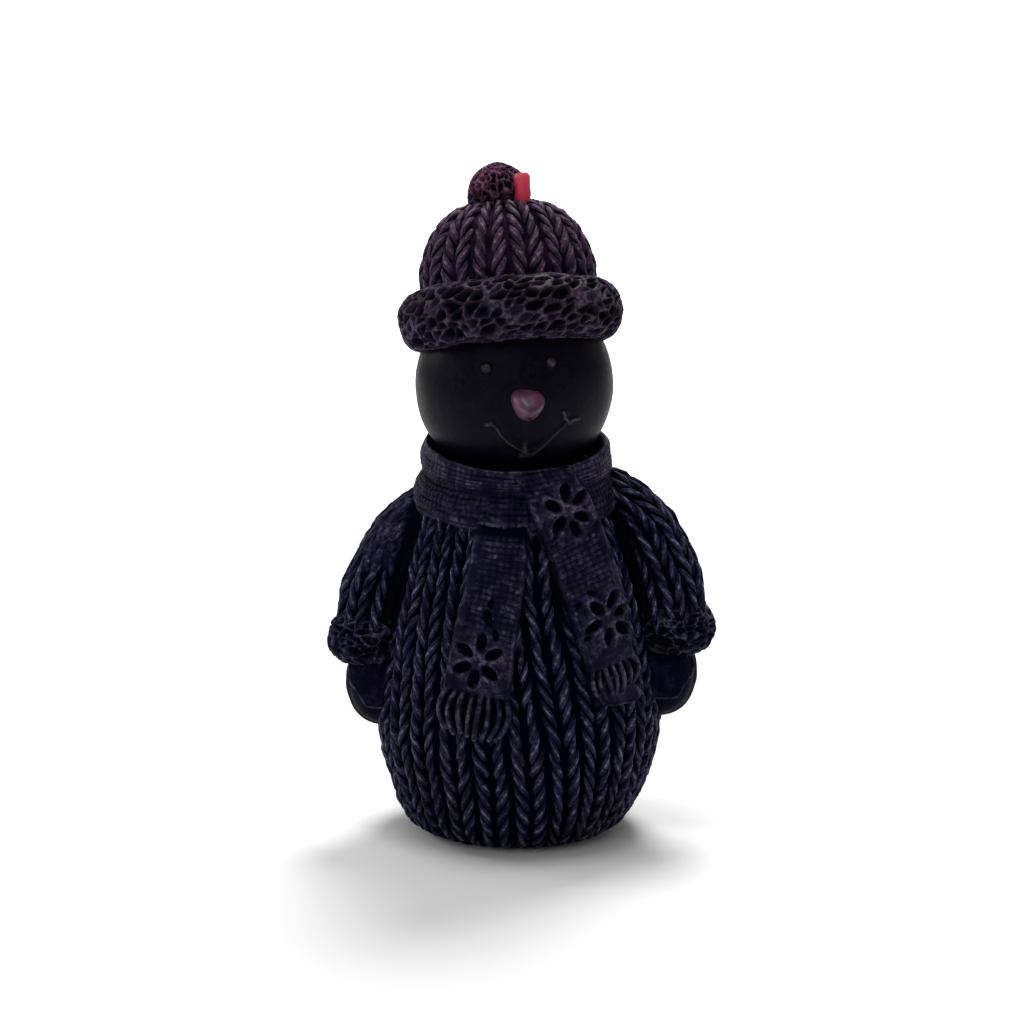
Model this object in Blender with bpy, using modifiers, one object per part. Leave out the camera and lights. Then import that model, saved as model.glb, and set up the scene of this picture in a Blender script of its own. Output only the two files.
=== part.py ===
# Snowman candle: one dark wax casting with a knitted-sweater figure in relief,
# a small cast nose let into the face, and a coated wick through the middle.
# Lengths below are millimetres, measured from the axis of the body; +Z is up,
# the face looks along -Y, and the figure stands on z = 0.

import math

import bmesh
import bpy
from mathutils import Matrix, Vector

MM = 0.001
COLLECTION_NAME = "snowman_candle"

# place of the body's axis in the part's own frame, so that the box is centred
AXIS_X = -0.9
AXIS_Y = 1.3

GAP = 0.3                       # between two separate pieces
FLATTEN = 0.94                  # depth of the body over its width

# body: outer profile (radius, height), from the edge of the base to the neck
BODY_PROFILE = ((13.5, 0.0), (18.3, 2.2), (21.6, 8.5), (23.8, 18.5),
                (22.9, 31.0), (20.0, 44.0), (16.6, 55.0), (12.0, 59.0))
BODY_COLUMNS = 48
BODY_ROWS = 16
KNIT_RELIEF = 1.0               # crest of a stitch over the groove beside it
KNIT_LEAN = 3.2                 # drop of a stitch across its column

# sleeves: centre line of the right arm, and its radius along the way
ARM_PATH = ((13.0, 0.0, 56.6), (19.0, 0.0, 51.1), (23.5, -0.4, 42.6),
            (25.8, -1.3, 32.0))
ARM_RADII = (5.0, 6.6, 7.0, 6.5)
ARM_COLUMNS = 14
ARM_ROWS = 7
ARM_LEAN = 2.6
ARM_CENTRE_X = 0.9              # the two arms are symmetric about this x
ARM_LIFT = 0.8                  # the right one sits higher, the left one lower
CUFF_CENTRE = (26.1, -1.5, 33.6)
CUFF_HALF = (6.9, 6.9, 4.5)
CUFF_PRESS = 0.08
CUFF_SQUARE = 0.55               # below 1 fills the ball out towards a drum
CUFF_FACETS = (16, 8)            # round it, and from pole to pole
MITTEN_FACETS = (12, 8)
SMALL_FACETS = (10, 6)           # thumbs, webs and eyes
MITTEN_CENTRE = (24.9, -2.2, 25.6)
MITTEN_HALF = (5.1, 5.4, 7.0)
MITTEN_TILT = 8.0               # degrees, fingertips towards the body
THUMB_CENTRE = (22.1, -6.0, 26.0)
THUMB_HALF = (1.9, 2.0, 4.2)
WEB_CENTRE = (21.8, -1.4, 30.5)  # wax that fills the cleft between cuff and body
WEB_HALF = (3.4, 6.2, 7.0)

# scarf: two rolls round the neck, then two tails down the front
COLLAR_ROLLS = (                # height, centre radius, half width, half height
    (57.2, 12.9, 4.0, 4.6),
    (62.4, 12.6, 2.9, 3.3),
)
COLLAR_PITCH = 9.0              # degrees, lower in front
COLLAR_FACETS = (24, 8)         # round the neck, and round the roll
NECK_RADIUS = 11.5
NECK_SPAN = (54.0, 62.8)        # heights of the neck inside the rolls
TAIL_PROUD = 2.0                # outer face over the body's profile
TAIL_SINK = 2.4                 # its hidden back under the profile
TAIL_GRID = (4, 9)              # across, along
TAIL_ROUND = 0.35               # drop of the outer face at its long edges
LEFT_TAIL = ((-2.3, 54.6), (-3.2, 46.0), (-5.0, 37.0), (-6.3, 28.6))
LEFT_TAIL_WIDTHS = (8.6, 9.2, 10.1, 10.9)
RIGHT_TAIL = ((4.1, 63.2), (8.6, 54.0), (12.6, 43.0), (15.3, 32.2))
RIGHT_TAIL_WIDTHS = (9.0, 9.6, 9.2, 7.6)
FRINGE_LENGTH = 7.0
FRINGE_TUCK = 1.6               # upper end hidden in the tail
FRINGE_SINK = 0.5               # below the tail's face
FRINGE_STRANDS = 7
FRINGE_SWELL = 0.9
FRINGE_ROWS = 3
FRINGE_DROOP = 0.6              # the tips lie this much lower
FRINGE_TAPER = (1.0, 0.98, 0.9)  # width along its length
FLAKES = ((-5.9, 33.7, -10.0), (14.4, 39.6, -8.0), (8.1, 56.1, 14.0))  # x, z, degrees
FLAKE_PITS = 6
FLAKE_RADIUS = 2.75             # centre of the flake to the centre of a pit
PIT_LENGTH = 2.7
PIT_WIDTH = 1.5
PIT_DEPTH = 1.3
PIT_SIDES = 6

# head and face
HEAD_CENTRE = (-0.3, 0.0, 74.5)
HEAD_RADIUS = 16.1
HEAD_FACETS = (22, 12)
EYES = ((-4.7, 78.3), (5.1, 79.3))
EYE_RADIUS = 1.25
EYE_SINK = 0.4
MOUTH = ((-4.8, 69.7), (-2.0, 67.1), (1.7, 64.9), (5.6, 67.2), (8.4, 70.2))
MOUTH_STEPS = 12
LIP_RADIUS = 0.55
CREASE_RADIUS = 0.6
CREASE_RISE = 0.9               # the crease runs this far above the lip
NOSE_PLACE = (1.7, 73.4)
NOSE_RADIUS = 2.35
NOSE_LENGTH = 4.6               # in front of the face
NOSE_ROOT = 1.8                 # depth of the socket that holds it
NOSE_DROOP = math.radians(18.0)
NOSE_OUTLINE = ((0.0, 1.0), (0.3, 0.97), (0.62, 0.83), (0.88, 0.58), (1.0, 0.3),
                (0.92, 0.0), (0.0, 0.0))    # shares of radius and length, tip to root
NOSE_STEPS = 16

# hat: turned about its own axis, then leaned and tipped back with the head
HAT_PIVOT = (-0.9, 0.0, 85.5)
HAT_ROLL = math.radians(4.0)    # right side higher
HAT_TIP = math.radians(9.0)     # front higher
BRIM_RADIUS = 14.3
BRIM_HALF_WIDTH = 3.9
BRIM_HALF_HEIGHT = 4.9
BRIM_RELIEF = 0.9
BRIM_FACETS = (38, 8)
CROWN_PROFILE = ((13.0, -3.0), (14.6, 6.0), (13.3, 11.5), (11.2, 15.2),
                 (7.8, 17.7), (3.4, 18.8))
CROWN_COLUMNS = 28
CROWN_ROWS = 6
CROWN_LEAN = 2.2
POMPOM_CENTRE = (-2.8, 1.4, 104.9)
POMPOM_RADIUS = 5.1
POMPOM_PRESS = 0.09
POMPOM_FACETS = (14, 8)

# wick and the channel that it runs in
WICK_PATH = ((0.9, -2.5, 0.0), (0.9, -2.5, 98.0), (1.0, -2.5, 103.5),
             (1.0, -2.45, 106.2), (0.8, -2.35, 108.3))
WICK_RADIUS = 1.3
CHANNEL_PAST = 6.0              # the channel runs on past the wick's end

LINE_STEPS = 60                 # points on a turned outline
PATH_STEPS = 24                 # points on the middle line of an arm or a tail
LOOK = 0.05                     # share of that line over which its direction is read
MERGE = 0.01


# --- curves through a few points ---------------------------------------------

def spline(points, t):
    """Point at t in 0..1 on a smooth curve through the points."""
    span = t * (len(points) - 1)
    i = min(int(span), len(points) - 2)
    f = span - i
    before, start, end, after = (Vector(points[min(max(k, 0), len(points) - 1)])
                                 for k in range(i - 1, i + 3))
    tangent_in = (end - before) / 2
    tangent_out = (after - start) / 2
    return (start * (2 * f ** 3 - 3 * f ** 2 + 1)
            + tangent_in * (f ** 3 - 2 * f ** 2 + f)
            + end * (3 * f ** 2 - 2 * f ** 3)
            + tangent_out * (f ** 3 - f ** 2))


def even_points(points, count, fine=200):
    """The same curve as count + 1 points evenly spaced along its length."""
    samples = [spline(points, i / fine) for i in range(fine + 1)]
    reach = [0.0]
    for a, b in zip(samples, samples[1:]):
        reach.append(reach[-1] + (b - a).length)
    result = []
    k = 0
    for i in range(count + 1):
        want = reach[-1] * i / count
        while k < fine - 1 and reach[k + 1] < want:
            k += 1
        f = (want - reach[k]) / (reach[k + 1] - reach[k])
        result.append(samples[k].lerp(samples[k + 1], f))
    return result


def along(points, t):
    """Linear read of an evenly spaced list, t in 0..1."""
    span = min(max(t, 0.0), 1.0) * (len(points) - 1)
    i = min(int(span), len(points) - 2)
    return points[i] + (points[i + 1] - points[i]) * (span - i)


def path_length(points):
    return sum((b - a).length for a, b in zip(points, points[1:]))


def radius_at(line, height):
    """Radius of a turned line, a list of (radius, height), at a height."""
    for a, b in zip(line, line[1:]):
        if a.y <= height <= b.y:
            return a.x + (b.x - a.x) * (height - a.y) / (b.y - a.y)
    return 0.0


BODY_LINE = even_points(BODY_PROFILE, LINE_STEPS)


# --- objects -----------------------------------------------------------------

def clear_scene():
    for obj in list(bpy.data.objects):
        bpy.data.objects.remove(obj, do_unlink=True)


def make_collection(name):
    collection = bpy.data.collections.new(name)
    bpy.context.scene.collection.children.link(collection)
    return collection


def make_material(name, color, roughness):
    material = bpy.data.materials.new(name)
    material.use_nodes = True
    shader = material.node_tree.nodes["Principled BSDF"]
    shader.inputs["Base Color"].default_value = (*color, 1.0)
    shader.inputs["Roughness"].default_value = roughness
    shader.inputs["Metallic"].default_value = 0.0
    return material


def finish_mesh(name, bm, collection, smooth=False):
    """Object from a mesh in figure millimetres, moved to the part's frame."""
    bmesh.ops.recalc_face_normals(bm, faces=bm.faces)
    if bm.calc_volume(signed=True) < 0.0:
        bmesh.ops.reverse_faces(bm, faces=bm.faces)
    bm.transform(Matrix.Translation((AXIS_X, AXIS_Y, 0.0)))
    bm.transform(Matrix.Scale(MM, 4))
    mesh = bpy.data.meshes.new(name)
    bm.to_mesh(mesh)
    bm.free()
    if smooth:
        mesh.shade_smooth()
    obj = bpy.data.objects.new(name, mesh)
    collection.objects.link(obj)
    return obj


def hide_helper(obj):
    obj.hide_render = True
    obj.display_type = "WIRE"


def tube(name, points, radius, collection, resolution=1):
    """Round tube with closed ends along a list of points."""
    curve = bpy.data.curves.new(name, "CURVE")
    curve.dimensions = "3D"
    curve.bevel_depth = radius * MM
    curve.bevel_resolution = resolution
    curve.use_fill_caps = True
    line = curve.splines.new("POLY")
    line.points.add(len(points) - 1)
    for knot, point in zip(line.points, points):
        place = Vector(point) + Vector((AXIS_X, AXIS_Y, 0.0))
        knot.co = (*(place * MM), 1.0)
    guide = bpy.data.objects.new(name + "_line", curve)
    collection.objects.link(guide)
    depsgraph = bpy.context.evaluated_depsgraph_get()
    mesh = bpy.data.meshes.new_from_object(guide.evaluated_get(depsgraph))
    bm = bmesh.new()
    bm.from_mesh(mesh)
    bmesh.ops.remove_doubles(bm, verts=bm.verts, dist=MERGE * MM)
    bmesh.ops.recalc_face_normals(bm, faces=bm.faces)
    bm.to_mesh(mesh)
    bm.free()
    mesh.name = name
    mesh.shade_smooth()
    obj = bpy.data.objects.new(name, mesh)
    obj.matrix_world = guide.matrix_world
    collection.objects.link(obj)
    bpy.data.objects.remove(guide)
    return obj


# --- knitted forms -----------------------------------------------------------

def knit_shell(name, columns, rows, lean, place, collection):
    """Closed shell of leaning stitches, each a raised four-sided facet.

    place(u, v, rise) gives a point: u is 0..1 round, v is 0..1 from the lower
    edge to the upper one, and rise is the height over the grooves. lean is
    the share of v that a stitch drops from one side of its column to the other.
    """
    bm = bmesh.new()
    bmesh.ops.create_grid(bm, x_segments=columns, y_segments=rows, size=0.5)
    spots = {}
    for vert in bm.verts:
        spots[vert] = (vert.co.x + 0.5, vert.co.y + 0.5, 0.0)
    poked = bmesh.ops.poke(bm, faces=list(bm.faces))
    for vert in poked["verts"]:
        spots[vert] = (vert.co.x + 0.5, vert.co.y + 0.5, KNIT_RELIEF)
    for vert, (u, v, rise) in spots.items():
        edge = min(v, 1.0 - v) * rows / 2
        if rise == 0.0:
            side = 1 if round(u * columns) % 2 else -1
            v += side * lean / 2 * min(edge, 1.0)
        vert.co = place(u, v, rise)
    bmesh.ops.remove_doubles(bm, verts=bm.verts, dist=MERGE)
    bmesh.ops.holes_fill(bm, edges=bm.edges, sides=0)
    return finish_mesh(name, bm, collection)


def turned_place(line, flatten=1.0, matrix=None):
    """Place function for a knit shell turned from a line of (radius, height)."""
    count = len(line) - 1

    def place(u, v, rise):
        here = along(line, v)
        ahead = along(line, min(v + 0.5 / count, 1.0))
        behind = along(line, max(v - 0.5 / count, 0.0))
        run = (ahead - behind).normalized()
        out = rise - KNIT_RELIEF
        radius = here.x + run.y * out
        height = here.y - run.x * out * min(1.0, 4 * v)
        angle = 2 * math.pi * u
        point = Vector((radius * math.sin(angle),
                        -radius * flatten * math.cos(angle), height))
        return matrix @ point if matrix else point
    return place


def sleeve_place(side):
    """Place function for a sleeve, down the arm from the shoulder."""
    centres = even_points(ARM_PATH, PATH_STEPS)
    across = Vector((0.0, 1.0, 0.0))

    def place(u, v, rise):
        t = 1.0 - v
        centre = along(centres, t)
        run = (along(centres, min(t + LOOK, 1.0))
               - along(centres, max(t - LOOK, 0.0))).normalized()
        outward = across.cross(run).normalized()
        radius = along(ARM_RADII, t) + rise - KNIT_RELIEF
        angle = 2 * math.pi * u
        point = (centre + outward * (radius * math.cos(angle))
                 + across * (radius * math.sin(angle)))
        return mirrored(point, side)
    return place


def mirrored(point, side):
    """Point of the right arm, or its twin on the left."""
    x = ARM_CENTRE_X + (point[0] - ARM_CENTRE_X) * side
    return Vector((x, point[1], point[2] + ARM_LIFT * side))


# --- rolls, balls and strips --------------------------------------------------

def take_mesh():
    """Mesh of the object just added, as a bmesh; the object itself goes."""
    added = bpy.context.active_object
    bm = bmesh.new()
    bm.from_mesh(added.data)
    bpy.data.objects.remove(added, do_unlink=True)
    return bm


def ring_roll(name, radius, half, facets, relief, matrix, collection):
    """Closed roll; relief presses in every other vertex, like boucle yarn."""
    around, section = facets
    bpy.ops.mesh.primitive_torus_add(major_segments=around, minor_segments=section,
                                     major_radius=radius, minor_radius=1.0)
    bm = take_mesh()
    for vert in bm.verts:
        x, y, z = vert.co
        reach = math.hypot(x, y)
        spot = round(math.atan2(y, x) / (2 * math.pi) * around)
        spot += round(math.atan2(z, reach - radius) / (2 * math.pi) * section)
        press = relief if spot % 2 else 0.0
        grown = radius + (reach - radius) * (half[0] - press)
        vert.co = (x * grown / reach, y * grown / reach, z * (half[1] - press))
    bm.transform(matrix)
    return finish_mesh(name, bm, collection, smooth=True)


def ball(name, centre, half, facets, collection, turn=None, press=0.0, square=1.0):
    """Ellipsoid, turned about its centre.

    press is the share that every other vertex is sunk, and a square below 1
    fills the ball out towards a drum.
    """
    segments, rings = facets
    bm = bmesh.new()
    bmesh.ops.create_uvsphere(bm, u_segments=segments, v_segments=rings, radius=1.0)
    for vert in bm.verts:
        column = round(math.atan2(vert.co.y, vert.co.x) / (2 * math.pi) * segments)
        row = round(math.acos(max(-1.0, min(1.0, vert.co.z))) / math.pi * rings)
        around = math.hypot(vert.co.x, vert.co.y)
        if around > 0.01:
            vert.co.x *= around ** (square - 1.0)
            vert.co.y *= around ** (square - 1.0)
            if (column + row) % 2:
                vert.co *= 1.0 - press
    bm.transform(Matrix.Diagonal((*half, 1.0)))
    if turn:
        bm.transform(turn.to_4x4())
    bm.transform(Matrix.Translation(centre))
    return finish_mesh(name, bm, collection, smooth=True)


def collar_radius(height):
    """Outer radius of the scarf's rolls at the front, at a height."""
    reach = 0.0
    for z, centre, half_width, half_height in COLLAR_ROLLS:
        drop = centre * math.sin(math.radians(COLLAR_PITCH))
        off = (height - z + drop) / half_height
        if abs(off) < 1.0:
            reach = max(reach, centre + half_width * math.sqrt(1.0 - off * off))
    return reach


def drape_point(x, height, proud, over_collar=True):
    """Point in front of the body, or of the collar too, over x and height."""
    reach = max(radius_at(BODY_LINE, height), NECK_RADIUS)
    if over_collar:
        reach = max(reach, collar_radius(height))
    lean = math.asin(x / (reach + TAIL_PROUD))
    reach += proud
    return Vector((reach * math.sin(lean), -FLATTEN * reach * math.cos(lean), height))


def drape_frame(x, height, proud):
    """Axes on the scarf's outer face: across, up and outward."""
    step = 0.2
    origin = drape_point(x, height, proud)
    across = (drape_point(x + step, height, proud) - origin).normalized()
    out = across.cross(drape_point(x, height + step, proud) - origin).normalized()
    up = out.cross(across)
    frame = Matrix((across, up, out)).transposed().to_4x4()
    frame.translation = origin
    return frame


def strip(name, path, widths, grid, swell, collection, over_collar=True):
    """Band down the front; swell(s, t) is extra height, s across and t along."""
    centres = even_points(path, PATH_STEPS)

    def place(x, y, proud):
        s, t = x * 2, 0.5 - y
        centre = along(centres, t)
        run = (along(centres, min(t + LOOK, 1.0))
               - along(centres, max(t - LOOK, 0.0))).normalized()
        offset = along(widths, t) / 2 * s
        return drape_point(centre.x - run.y * offset, centre.y + run.x * offset,
                           proud, over_collar)

    bm = bmesh.new()
    bmesh.ops.create_grid(bm, x_segments=grid[0], y_segments=grid[1], size=0.5)
    inner = list(bm.verts)
    raised = bmesh.ops.extrude_face_region(bm, geom=list(bm.faces),
                                           use_keep_orig=True)["geom"]
    outer = [item for item in raised if isinstance(item, bmesh.types.BMVert)]
    for vert in inner:
        vert.co = place(vert.co.x, vert.co.y, -TAIL_SINK)
    for vert in outer:
        rise = swell(vert.co.x * 2, 0.5 - vert.co.y)
        vert.co = place(vert.co.x, vert.co.y, TAIL_PROUD + rise)
    return finish_mesh(name, bm, collection)


def fringe(name, path, widths, collection):
    """Row of soft strands below a scarf tail."""
    end, before = Vector(path[-1]), Vector(path[-2])
    run = (end - before).normalized()
    end -= run * FRINGE_TUCK
    tip = end + run * (FRINGE_LENGTH + FRINGE_TUCK)
    width = widths[-1]

    def swell(s, t):
        strand = abs(math.cos(math.pi * FRINGE_STRANDS * (s + 1) / 2))
        return FRINGE_SWELL * (1 - strand) - FRINGE_DROOP * t * t - FRINGE_SINK

    lower = [width * share for share in FRINGE_TAPER]
    return strip(name, (tuple(end), tuple((end + tip) / 2), tuple(tip)), lower,
                 (2 * FRINGE_STRANDS, FRINGE_ROWS), swell, collection)


# --- the wax figure's forms ---------------------------------------------------

def body_forms(forms):
    place = turned_place(BODY_LINE, FLATTEN)
    knit_shell("body", BODY_COLUMNS, BODY_ROWS, KNIT_LEAN / path_length(BODY_LINE),
               place, forms)


def arm_forms(side, tag, forms):
    lean = ARM_LEAN / path_length([Vector(point) for point in ARM_PATH])
    knit_shell("sleeve_" + tag, ARM_COLUMNS, ARM_ROWS, lean, sleeve_place(side), forms)
    tilt = Matrix.Rotation(math.radians(MITTEN_TILT) * side, 3, "Y")
    ball("cuff_" + tag, mirrored(CUFF_CENTRE, side), CUFF_HALF, CUFF_FACETS, forms,
         press=CUFF_PRESS, square=CUFF_SQUARE)
    ball("mitten_" + tag, mirrored(MITTEN_CENTRE, side), MITTEN_HALF, MITTEN_FACETS,
         forms, tilt)
    ball("thumb_" + tag, mirrored(THUMB_CENTRE, side), THUMB_HALF, SMALL_FACETS,
         forms, tilt)
    ball("web_" + tag, mirrored(WEB_CENTRE, side), WEB_HALF, SMALL_FACETS, forms)


def collar_forms(forms):
    pitch = Matrix.Rotation(math.radians(COLLAR_PITCH), 4, "X")
    for i, (z, radius, half_width, half_height) in enumerate(COLLAR_ROLLS):
        matrix = Matrix.Translation((0.0, 0.0, z)) @ pitch
        ring_roll("collar_%d" % i, radius, (half_width, half_height), COLLAR_FACETS,
                  0.0, matrix, forms)
    low, high = NECK_SPAN
    bm = bmesh.new()
    bmesh.ops.create_cone(bm, cap_ends=True, segments=COLLAR_FACETS[0],
                          radius1=NECK_RADIUS, radius2=NECK_RADIUS, depth=high - low)
    bm.transform(Matrix.Translation((0.0, 0.0, (low + high) / 2)) @ pitch)
    finish_mesh("neck", bm, forms)


def tail_swell(s, t):
    """Outer face of a tail: level, and rounded off at its long edges."""
    return -TAIL_ROUND * s ** 4


def scarf_forms(forms):
    for tag, path, widths in (("left", LEFT_TAIL, LEFT_TAIL_WIDTHS),
                              ("right", RIGHT_TAIL, RIGHT_TAIL_WIDTHS)):
        strip("tail_" + tag, path, widths, TAIL_GRID, tail_swell, forms, tag == "right")
        fringe("fringe_" + tag, path, widths, forms)


def face_point(x, height, rise=0.0):
    """Point on the head over the given x and height, lifted by rise."""
    centre = Vector(HEAD_CENTRE)
    dx, dz = x - centre.x, height - centre.z
    front = Vector((dx, -math.sqrt(HEAD_RADIUS ** 2 - dx * dx - dz * dz), dz))
    return centre + front * (1.0 + rise / HEAD_RADIUS)


def head_forms(forms):
    ball("head", HEAD_CENTRE, (HEAD_RADIUS,) * 3, HEAD_FACETS, forms)
    for i, (x, height) in enumerate(EYES):
        ball("eye_%d" % i, face_point(x, height, -EYE_SINK), (EYE_RADIUS,) * 3,
             SMALL_FACETS, forms)
    tube("lip", mouth_line(0.0), LIP_RADIUS, forms)


def mouth_line(above):
    """Points on the face along the smile, or along a line that far above it."""
    smile = [spline(MOUTH, i / MOUTH_STEPS) for i in range(MOUTH_STEPS + 1)]
    return [face_point(p.x, p.y + above) for p in smile]


def hat_matrix():
    turn = Matrix.Rotation(HAT_ROLL, 4, "Y").inverted() @ Matrix.Rotation(
        -HAT_TIP, 4, "X")
    return Matrix.Translation(HAT_PIVOT) @ turn


def hat_forms(forms):
    matrix = hat_matrix()
    ring_roll("brim", BRIM_RADIUS, (BRIM_HALF_WIDTH, BRIM_HALF_HEIGHT), BRIM_FACETS,
              BRIM_RELIEF, matrix, forms)
    line = even_points(CROWN_PROFILE, LINE_STEPS)
    knit_shell("crown", CROWN_COLUMNS, CROWN_ROWS, CROWN_LEAN / path_length(line),
               turned_place(line, 1.0, matrix), forms)
    ball("pompom", POMPOM_CENTRE, (POMPOM_RADIUS,) * 3, POMPOM_FACETS, forms,
         press=POMPOM_PRESS)


# --- what is cut from the figure ----------------------------------------------

def flake_cutters(cutters):
    for f, (x, height, degrees) in enumerate(FLAKES):
        frame = drape_frame(x, height, TAIL_PROUD)
        for k in range(FLAKE_PITS):
            turn = 2 * math.pi * k / FLAKE_PITS + math.radians(degrees)
            bm = bmesh.new()
            bmesh.ops.create_cone(bm, cap_ends=True, segments=PIT_SIDES, radius1=0.5,
                                  radius2=0.5, depth=2.0)
            bm.transform(Matrix.Diagonal((PIT_WIDTH, PIT_LENGTH, PIT_DEPTH, 1.0)))
            bm.transform(Matrix.Translation((0.0, FLAKE_RADIUS, 0.0)))
            bm.transform(Matrix.Rotation(turn, 4, "Z"))
            bm.transform(frame)
            finish_mesh("pit_%d_%d" % (f, k), bm, cutters)


def face_cutters(cutters):
    tube("crease", mouth_line(CREASE_RISE), CREASE_RADIUS, cutters)
    nose_form("nose_socket", GAP, cutters)


def nose_form(name, margin, collection):
    """Blunt drooping cone, turned; margin swells it all round for its socket."""
    root = face_point(*NOSE_PLACE, rise=-NOSE_ROOT - margin)
    out = (root - Vector(HEAD_CENTRE)).normalized()
    axis = (Matrix.Rotation(NOSE_DROOP, 3, "X") @ out).normalized()
    length = NOSE_ROOT + NOSE_LENGTH + 2 * margin
    radius = NOSE_RADIUS + margin
    outline = bpy.data.meshes.new(name)
    points = [(radius * out_share, 0.0, length * up_share)
              for out_share, up_share in NOSE_OUTLINE]
    outline.from_pydata(points, [(i, i + 1) for i in range(len(points) - 1)], [])
    lathe = bpy.data.objects.new(name, outline)
    bpy.context.scene.collection.objects.link(lathe)
    screw = lathe.modifiers.new("turn", "SCREW")
    screw.steps = NOSE_STEPS
    screw.render_steps = NOSE_STEPS
    screw.use_merge_vertices = True
    screw.merge_threshold = 0.0001
    depsgraph = bpy.context.evaluated_depsgraph_get()
    bm = bmesh.new()
    bm.from_object(lathe, depsgraph)
    bpy.data.objects.remove(lathe, do_unlink=True)
    turn = Vector((0.0, 0.0, 1.0)).rotation_difference(axis).to_matrix().to_4x4()
    bm.transform(Matrix.Translation(root) @ turn)
    return finish_mesh(name, bm, collection, smooth=True)


def channel_cutter(cutters):
    path = [Vector(p) for p in WICK_PATH]
    path[0].z = -1.0
    path.append(path[-1] + (path[-1] - path[-2]).normalized() * CHANNEL_PAST)
    tube("wick_channel", path, WICK_RADIUS + GAP, cutters, resolution=2)


# --- the three pieces ---------------------------------------------------------

def join_forms(figure, forms, cutters):
    """Unite every form into the figure, then cut the pits and channels."""
    for operation, operands in (("UNION", forms), ("DIFFERENCE", cutters)):
        step = figure.modifiers.new(operation.lower(), "BOOLEAN")
        step.operation = operation
        step.operand_type = "COLLECTION"
        step.collection = operands
        step.solver = "EXACT"
    depsgraph = bpy.context.evaluated_depsgraph_get()
    joined = bpy.data.meshes.new_from_object(figure.evaluated_get(depsgraph))
    figure.modifiers.clear()
    figure.data = joined
    drop_pockets(joined)


def drop_pockets(mesh):
    """Fill the small sealed pockets left between forms: keep the largest shell."""
    bm = bmesh.new()
    bm.from_mesh(mesh)
    left = set(bm.faces)
    shells = []
    while left:
        shell = [left.pop()]
        for face in shell:
            near = {other for edge in face.edges if len(edge.link_faces) == 2
                    for other in edge.link_faces}
            shell.extend(near & left)
            left -= near
        shells.append(shell)
    shells.sort(key=len)
    pockets = [face for shell in shells[:-1] for face in shell]
    bmesh.ops.delete(bm, geom=pockets, context="FACES")
    bm.to_mesh(mesh)
    bm.free()


def build():
    clear_scene()
    parts = make_collection(COLLECTION_NAME)
    forms = make_collection("figure_forms")
    cutters = make_collection("figure_cutters")

    body_forms(forms)
    arm_forms(1, "right", forms)
    arm_forms(-1, "left", forms)
    collar_forms(forms)
    scarf_forms(forms)
    head_forms(forms)
    hat_forms(forms)
    flake_cutters(cutters)
    face_cutters(cutters)
    channel_cutter(cutters)

    figure = forms.objects["body"]
    forms.objects.unlink(figure)
    parts.objects.link(figure)
    figure.name = "wax_figure"
    join_forms(figure, forms, cutters)
    figure.data.name = "wax_figure"
    figure.data.materials.append(make_material("dark_wax", (0.012, 0.008, 0.022), 0.42))

    nose = nose_form("nose", 0.0, parts)
    nose.data.materials.append(make_material("pink_wax", (0.22, 0.05, 0.16), 0.38))

    wick = tube("wick", WICK_PATH, WICK_RADIUS, parts, resolution=2)
    wick.data.materials.append(make_material("wick_coat", (0.45, 0.02, 0.07), 0.5))

    for helper in list(forms.objects) + list(cutters.objects):
        hide_helper(helper)


build()
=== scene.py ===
# Snowman candle: a knitted figure cast in dark violet wax, with a small pink
# wax nose and a red coated wick. Sizes are millimetres from the axis of the
# body, +Z up, the face looking along -Y.
import math

import bmesh
import bpy
import numpy as np
from mathutils import Matrix, Vector, noise


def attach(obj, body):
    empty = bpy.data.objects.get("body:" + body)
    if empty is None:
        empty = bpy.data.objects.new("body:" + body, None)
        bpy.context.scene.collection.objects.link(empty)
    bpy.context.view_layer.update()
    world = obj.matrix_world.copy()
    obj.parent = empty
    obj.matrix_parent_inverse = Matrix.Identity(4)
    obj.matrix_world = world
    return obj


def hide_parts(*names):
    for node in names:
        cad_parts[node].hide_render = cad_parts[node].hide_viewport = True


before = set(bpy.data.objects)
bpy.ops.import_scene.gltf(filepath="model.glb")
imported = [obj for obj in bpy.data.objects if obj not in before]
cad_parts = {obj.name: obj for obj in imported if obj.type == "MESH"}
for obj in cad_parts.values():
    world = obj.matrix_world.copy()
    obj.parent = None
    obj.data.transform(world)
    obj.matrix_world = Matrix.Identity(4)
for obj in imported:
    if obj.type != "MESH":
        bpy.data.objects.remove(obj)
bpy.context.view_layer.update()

mm = 0.001
bodyAxis = np.array((-0.9, 1.3, 0.0))   # the body's axis in the part's own frame


# curves and lines

# evenly spaced points on a smooth curve through the given ones
def smoothPath(points, count, fine=240):
    knots = np.array(points, float)
    last = len(knots) - 1
    t = np.linspace(0.0, last, fine + 1)
    i = np.minimum(t.astype(int), last - 1)
    f = (t - i)[:, None]
    at = lambda k: knots[np.clip(k, 0, last)]
    a, b, c, d = at(i - 1), at(i), at(i + 1), at(i + 2)
    curve = (b * (2 * f ** 3 - 3 * f ** 2 + 1) + (c - a) / 2 * (f ** 3 - 2 * f ** 2 + f)
             + c * (3 * f ** 2 - 2 * f ** 3) + (d - b) / 2 * (f ** 3 - f ** 2))
    reach = np.concatenate(([0.0], np.cumsum(np.linalg.norm(np.diff(curve, axis=0), axis=1))))
    want = np.linspace(0.0, reach[-1], count + 1)
    return np.stack([np.interp(want, reach, curve[:, k]) for k in range(curve.shape[1])], 1)


def readLine(line, t):
    span = np.clip(t, 0.0, 1.0) * (len(line) - 1)
    low = np.minimum(span.astype(int), len(line) - 2)
    part = span - low
    if line.ndim > 1:
        part = part[..., None]
    return line[low] * (1 - part) + line[low + 1] * part


def unit(vectors):
    return vectors / np.maximum(np.linalg.norm(vectors, axis=-1, keepdims=True), 1e-9)


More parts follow.
